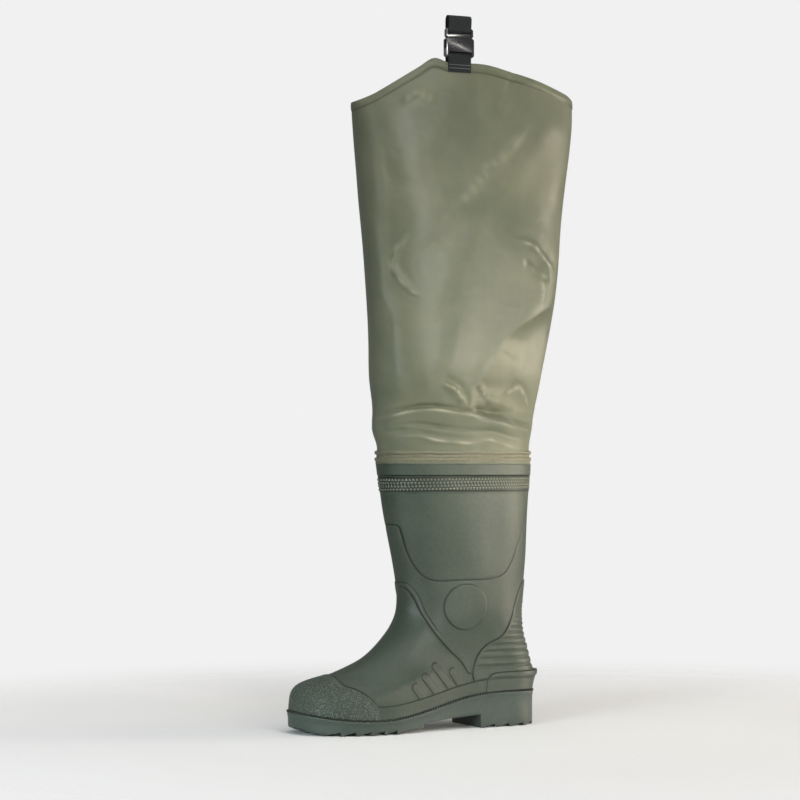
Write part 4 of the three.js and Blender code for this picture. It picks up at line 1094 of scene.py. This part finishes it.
def buildLeg():
    foot = (boot["gap"] + 3) / legHeight
    hem = legFit["hem"] / legHeight
    shares = np.concatenate([np.linspace(foot, 0.24, 70)[:-1], np.linspace(0.24, 1 - hem, 108)[:-1]])
    rows = [(foot, -1.0)] + [(s, 0.0) for s in shares]
    rows += [(1 - hem, 0.0), (1 - hem + 0.0012, legFit["hemStep"]), (1 - hem * 0.5, legFit["hemStep"] + 0.25),
             (1 - 0.0012, legFit["hemStep"]), (1.0, 0.0), (1.0, -1.0), (1 - 0.0012, -1.4),
             (1 - hem * 0.5, -1.5), (1 - hem + 0.001, -1.3), (1 - hem, -1.0)]
    rows += [(s, -1.0) for s in shares[::-1]]
    share = np.array([row[0] for row in rows])
    offset = np.array([row[1] for row in rows])
    columns = legFit["columns"]

    def place(u, v):
        turn = (u % columns) / columns
        point, loose = legSurface(turn, share[v])
        normal = legNormal(turn, share[v])
        moved = point + normal * (offset[v] + clothHeight(point, turn, loose))[:, None]
        moved[:, 1] += flatten(point, turn) + facetDrop(point, turn)
        return moved

    piece = gridPiece("clothLeg", columns, len(rows) - 1, place)
    setUv(piece, 62, 92)
    finishPiece(piece, outerCloth)
    piece.data.materials.append(innerCloth)
    # the inner face of the tube is the cloth's pale side
    layer = piece.data.uv_layers.active.data
    split = (len(shares) + 8.5) / (len(rows) - 1) * 92
    for polygon in piece.data.polygons:
        v = sum(layer[i].uv.y for i in polygon.loop_indices) / polygon.loop_total
        polygon.material_index = 1 if v > split else 0
    points = meshPoints(piece) / mm
    middle = curve(legRows, 1, 1.0) * cloth["depth"] / 2
    across = np.clip((points[:, 0] - middle + cloth["depth"] / 2) / cloth["depth"], 0, 1)
    rim = np.where(points[:, 1] > 0, curve(rimRows, 1, across), curve(rimRows, 2, across))
    below = cloth["peak"] + legHeight * rim - points[:, 2] - legFit["hem"]
    setAttribute(piece, "hemEdge", np.clip(below, -12, 12))
    # painted highlight along the crease crests, for the shader
    crest = np.where(points[:, 1] > 0, crestHighlightShare(points[:, 0], points[:, 2], creases),
                     crestHighlightShare(points[:, 0], points[:, 2], innerCreases))
    setAttribute(piece, "creaseHighlight", crest)
    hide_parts("leg")


buildLeg()
print("cloth leg built")


# welded band over the joint
bandFit = dict(low=304.6, rows=[
    # height above the band's foot, how far out
    (0, -0.6), (0.05, 0.1), (1.4, 0.15), (2.3, 0.35), (3.0, 1.15), (4.4, 1.3), (5.4, 1.0), (6.0, 0.1),
    (6.6, -0.95), (9.2, -0.95), (9.8, 0.1), (10.6, 1.1), (12.2, 1.3), (13.1, 0.8), (13.9, 0), (13.9, -0.7)])


def buildBand():
    columns = 260
    rows = bandFit["rows"]
    inner = -legInset + 0.3
    heights = np.array([row[0] for row in rows] + [rows[-1][0], 0, 0])
    outs = np.array([row[1] for row in rows] + [-1.3, -1.3, -0.6])

    def place(u, v):
        turn = (u % columns) / columns
        wobble = 0.2 * np.sin(turn * 2 * math.pi * 9) + 0.15 * np.sin(turn * 2 * math.pi * 23 + 1)
        ones = np.ones(turn.shape)
        point = bootPoint(turn, ones)
        point = point + bootNormal(turn, ones) * (inner + 1.3 + outs[v])[:, None]
        point[:, 2] = bandFit["low"] + heights[v] + wobble * (heights[v] > 6) * (heights[v] < 13.5)
        return point

    piece = gridPiece("jointBand", columns, len(rows) + 2, place)
    setUv(piece, 60, 3)
    finishPiece(piece, bandRubber, angle=60)
    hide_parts("joint_band")


def buildCollarBeads():
    # beaded bead in the gap between the collar and the band
    beads = 104
    columns = beads * 6

    def place(u, v):
        turn = (u % columns) / columns
        angle = v / 8 * 2 * math.pi
        radius = 0.75 + 0.2 * np.cos(turn * beads * 2 * math.pi)
        ones = np.ones(turn.shape)
        point = bootPoint(turn, ones) + bootNormal(turn, ones) * (radius * np.cos(angle) - 0.1)[:, None]
        point[:, 2] = boot["height"] + 0.85 + radius * 0.9 * np.sin(angle)
        return point

    piece = gridPiece("collarBeads", columns, 8, place)
    # painted highlight: the pale stud rubber lifts the beads out of the band's shade
    finishPiece(piece, studHighlightRubber)


buildBand()
buildCollarBeads()
print("joint band built")


# strap, tab and buckle
strapPlace = dict(at=(81.18, 47.52, 759.157), turn=-5.476)  # on the rim, square to the panel
strapFit = dict(width=28, thick=1.4, slant=0.3)
barY, tabBar, strapBar, turnRadius = -0.8, 8.0, 36.8, 3.0


def arc(centreY, centreZ, radius, first, last, steps):
    return [(centreY + radius * math.cos(math.pi * (first + (last - first) * i / steps)),
             centreZ + radius * math.sin(math.pi * (first + (last - first) * i / steps))) for i in range(steps + 1)]


def fromStrap(points):
    turn = math.radians(strapPlace["turn"])
    c, s = math.cos(turn), math.sin(turn)
    x, y, z = points[:, 0], points[:, 1], points[:, 2]
    at = strapPlace["at"]
    return np.stack([at[0] + c * x - s * y, at[1] + s * x + c * y, at[2] + z], -1)


def buildWebbing(name, path, cadName, slant=0.0):
    path = np.array(path, float)
    run = np.concatenate([[0], np.cumsum(np.hypot(*np.diff(path, axis=0).T))])
    rows = int(run[-1] / 1.2)
    at = np.linspace(0, run[-1], rows + 1)
    y, z = np.interp(at, run, path[:, 0]), np.interp(at, run, path[:, 1])
    across = 20

    def place(u, v):
        x = (u / across - 0.5) * strapFit["width"] + slant * np.maximum(-z[v], 0)
        return fromStrap(np.stack([x, y[v], z[v]], -1))

    piece = gridPiece(name, across, rows, place, seam=False)
    setUv(piece, strapFit["width"] / 10, run[-1] / 10)
    thick = piece.modifiers.new("thick", 'SOLIDIFY')
    thick.thickness = strapFit["thick"] * mm
    thick.offset = 0
    bpy.ops.object.modifier_apply(modifier="thick")
    finishPiece(piece, webbing, angle=40)
    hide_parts(cadName)


def buildStraps():
    outside, within, rise, loop = 1.25, -2.85, -6.3, 4.8
    crown = 54 - loop - 0.7
    buildWebbing("strapTab", [(outside, -11), (outside, tabBar - 6)] + arc(barY, tabBar, turnRadius, 0, 1, 8)
                 + [(within, tabBar - 6), (within, -22)], "strap_tab")
    buildWebbing("beltStrap", [(rise + 0.6, -75), (rise, 0), (rise, 30)] + arc(rise + loop, crown, loop, 1, 0, 8)
                 + [(barY + turnRadius, strapBar + 3)] + arc(barY, strapBar, turnRadius, 0, -1, 8)
                 + [(barY - turnRadius, strapBar + 5)], "belt_strap", strapFit["slant"])


def buildTabStitches():
    # one stitch, copied along two rows on the tab
    deselect()
    bpy.ops.mesh.primitive_cube_add(size=1)
    first = bpy.context.object
    bpy.ops.object.mode_set(mode='EDIT')
    bpy.ops.mesh.select_all(action='SELECT')
    bpy.ops.transform.resize(value=(1.9 * mm, 0.4 * mm, 0.45 * mm), center_override=(0, 0, 0))
    bpy.ops.mesh.bevel(offset=0.14 * mm, segments=2, affect='EDGES')
    bpy.ops.object.mode_set(mode='OBJECT')
    shape = np.array([vertex.co[:] for vertex in first.data.vertices]) / mm
    copies = []
    for z in (-2.6, -6.4):
        for i in range(8):
            stitch = first.copy()
            stitch.data = first.data.copy()
            bpy.context.collection.objects.link(stitch)
            x = (i - 3.5) * 3.3
            stitch.data.vertices.foreach_set("co", (fromStrap(shape + np.array([x, 2.05, z])) * mm).ravel())
            copies.append(stitch)
    bpy.data.objects.remove(first)
    deselect()
    for stitch in copies:
        stitch.select_set(True)
    bpy.context.view_layer.objects.active = copies[0]
    bpy.ops.object.join()
    piece = bpy.context.object
    piece.name = piece.data.name = "tabStitches"
    finishPiece(piece, threadFinish)


def buildBuckle(name, cadName, edge):
    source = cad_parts[cadName]
    mesh = source.data.copy()
    mesh.transform(source.matrix_world)
    piece = bpy.data.objects.new(name, mesh)
    bpy.context.collection.objects.link(piece)
    deselect()
    piece.select_set(True)
    bpy.context.view_layer.objects.active = piece
    bpy.ops.object.mode_set(mode='EDIT')
    bpy.ops.mesh.select_all(action='SELECT')
    bpy.ops.mesh.remove_doubles(threshold=0.00001)
    bpy.ops.mesh.dissolve_limited(angle_limit=math.radians(1))
    bpy.ops.mesh.normals_make_consistent(inside=False)
    bpy.ops.object.mode_set(mode='OBJECT')
    rounding = piece.modifiers.new("rounding", 'BEVEL')
    rounding.width = edge * mm
    rounding.segments = 3
    rounding.limit_method = 'ANGLE'
    rounding.angle_limit = math.radians(35)
    bpy.ops.object.modifier_apply(modifier="rounding")
    finishPiece(piece, glossPlastic, angle=35)
    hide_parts(cadName)


buildStraps()
buildTabStitches()
buildBuckle("buckleBody", "buckle_body", 0.7)
buildBuckle("buckleProngs", "buckle_prongs", 0.5)
print("strap, tab and buckle built")
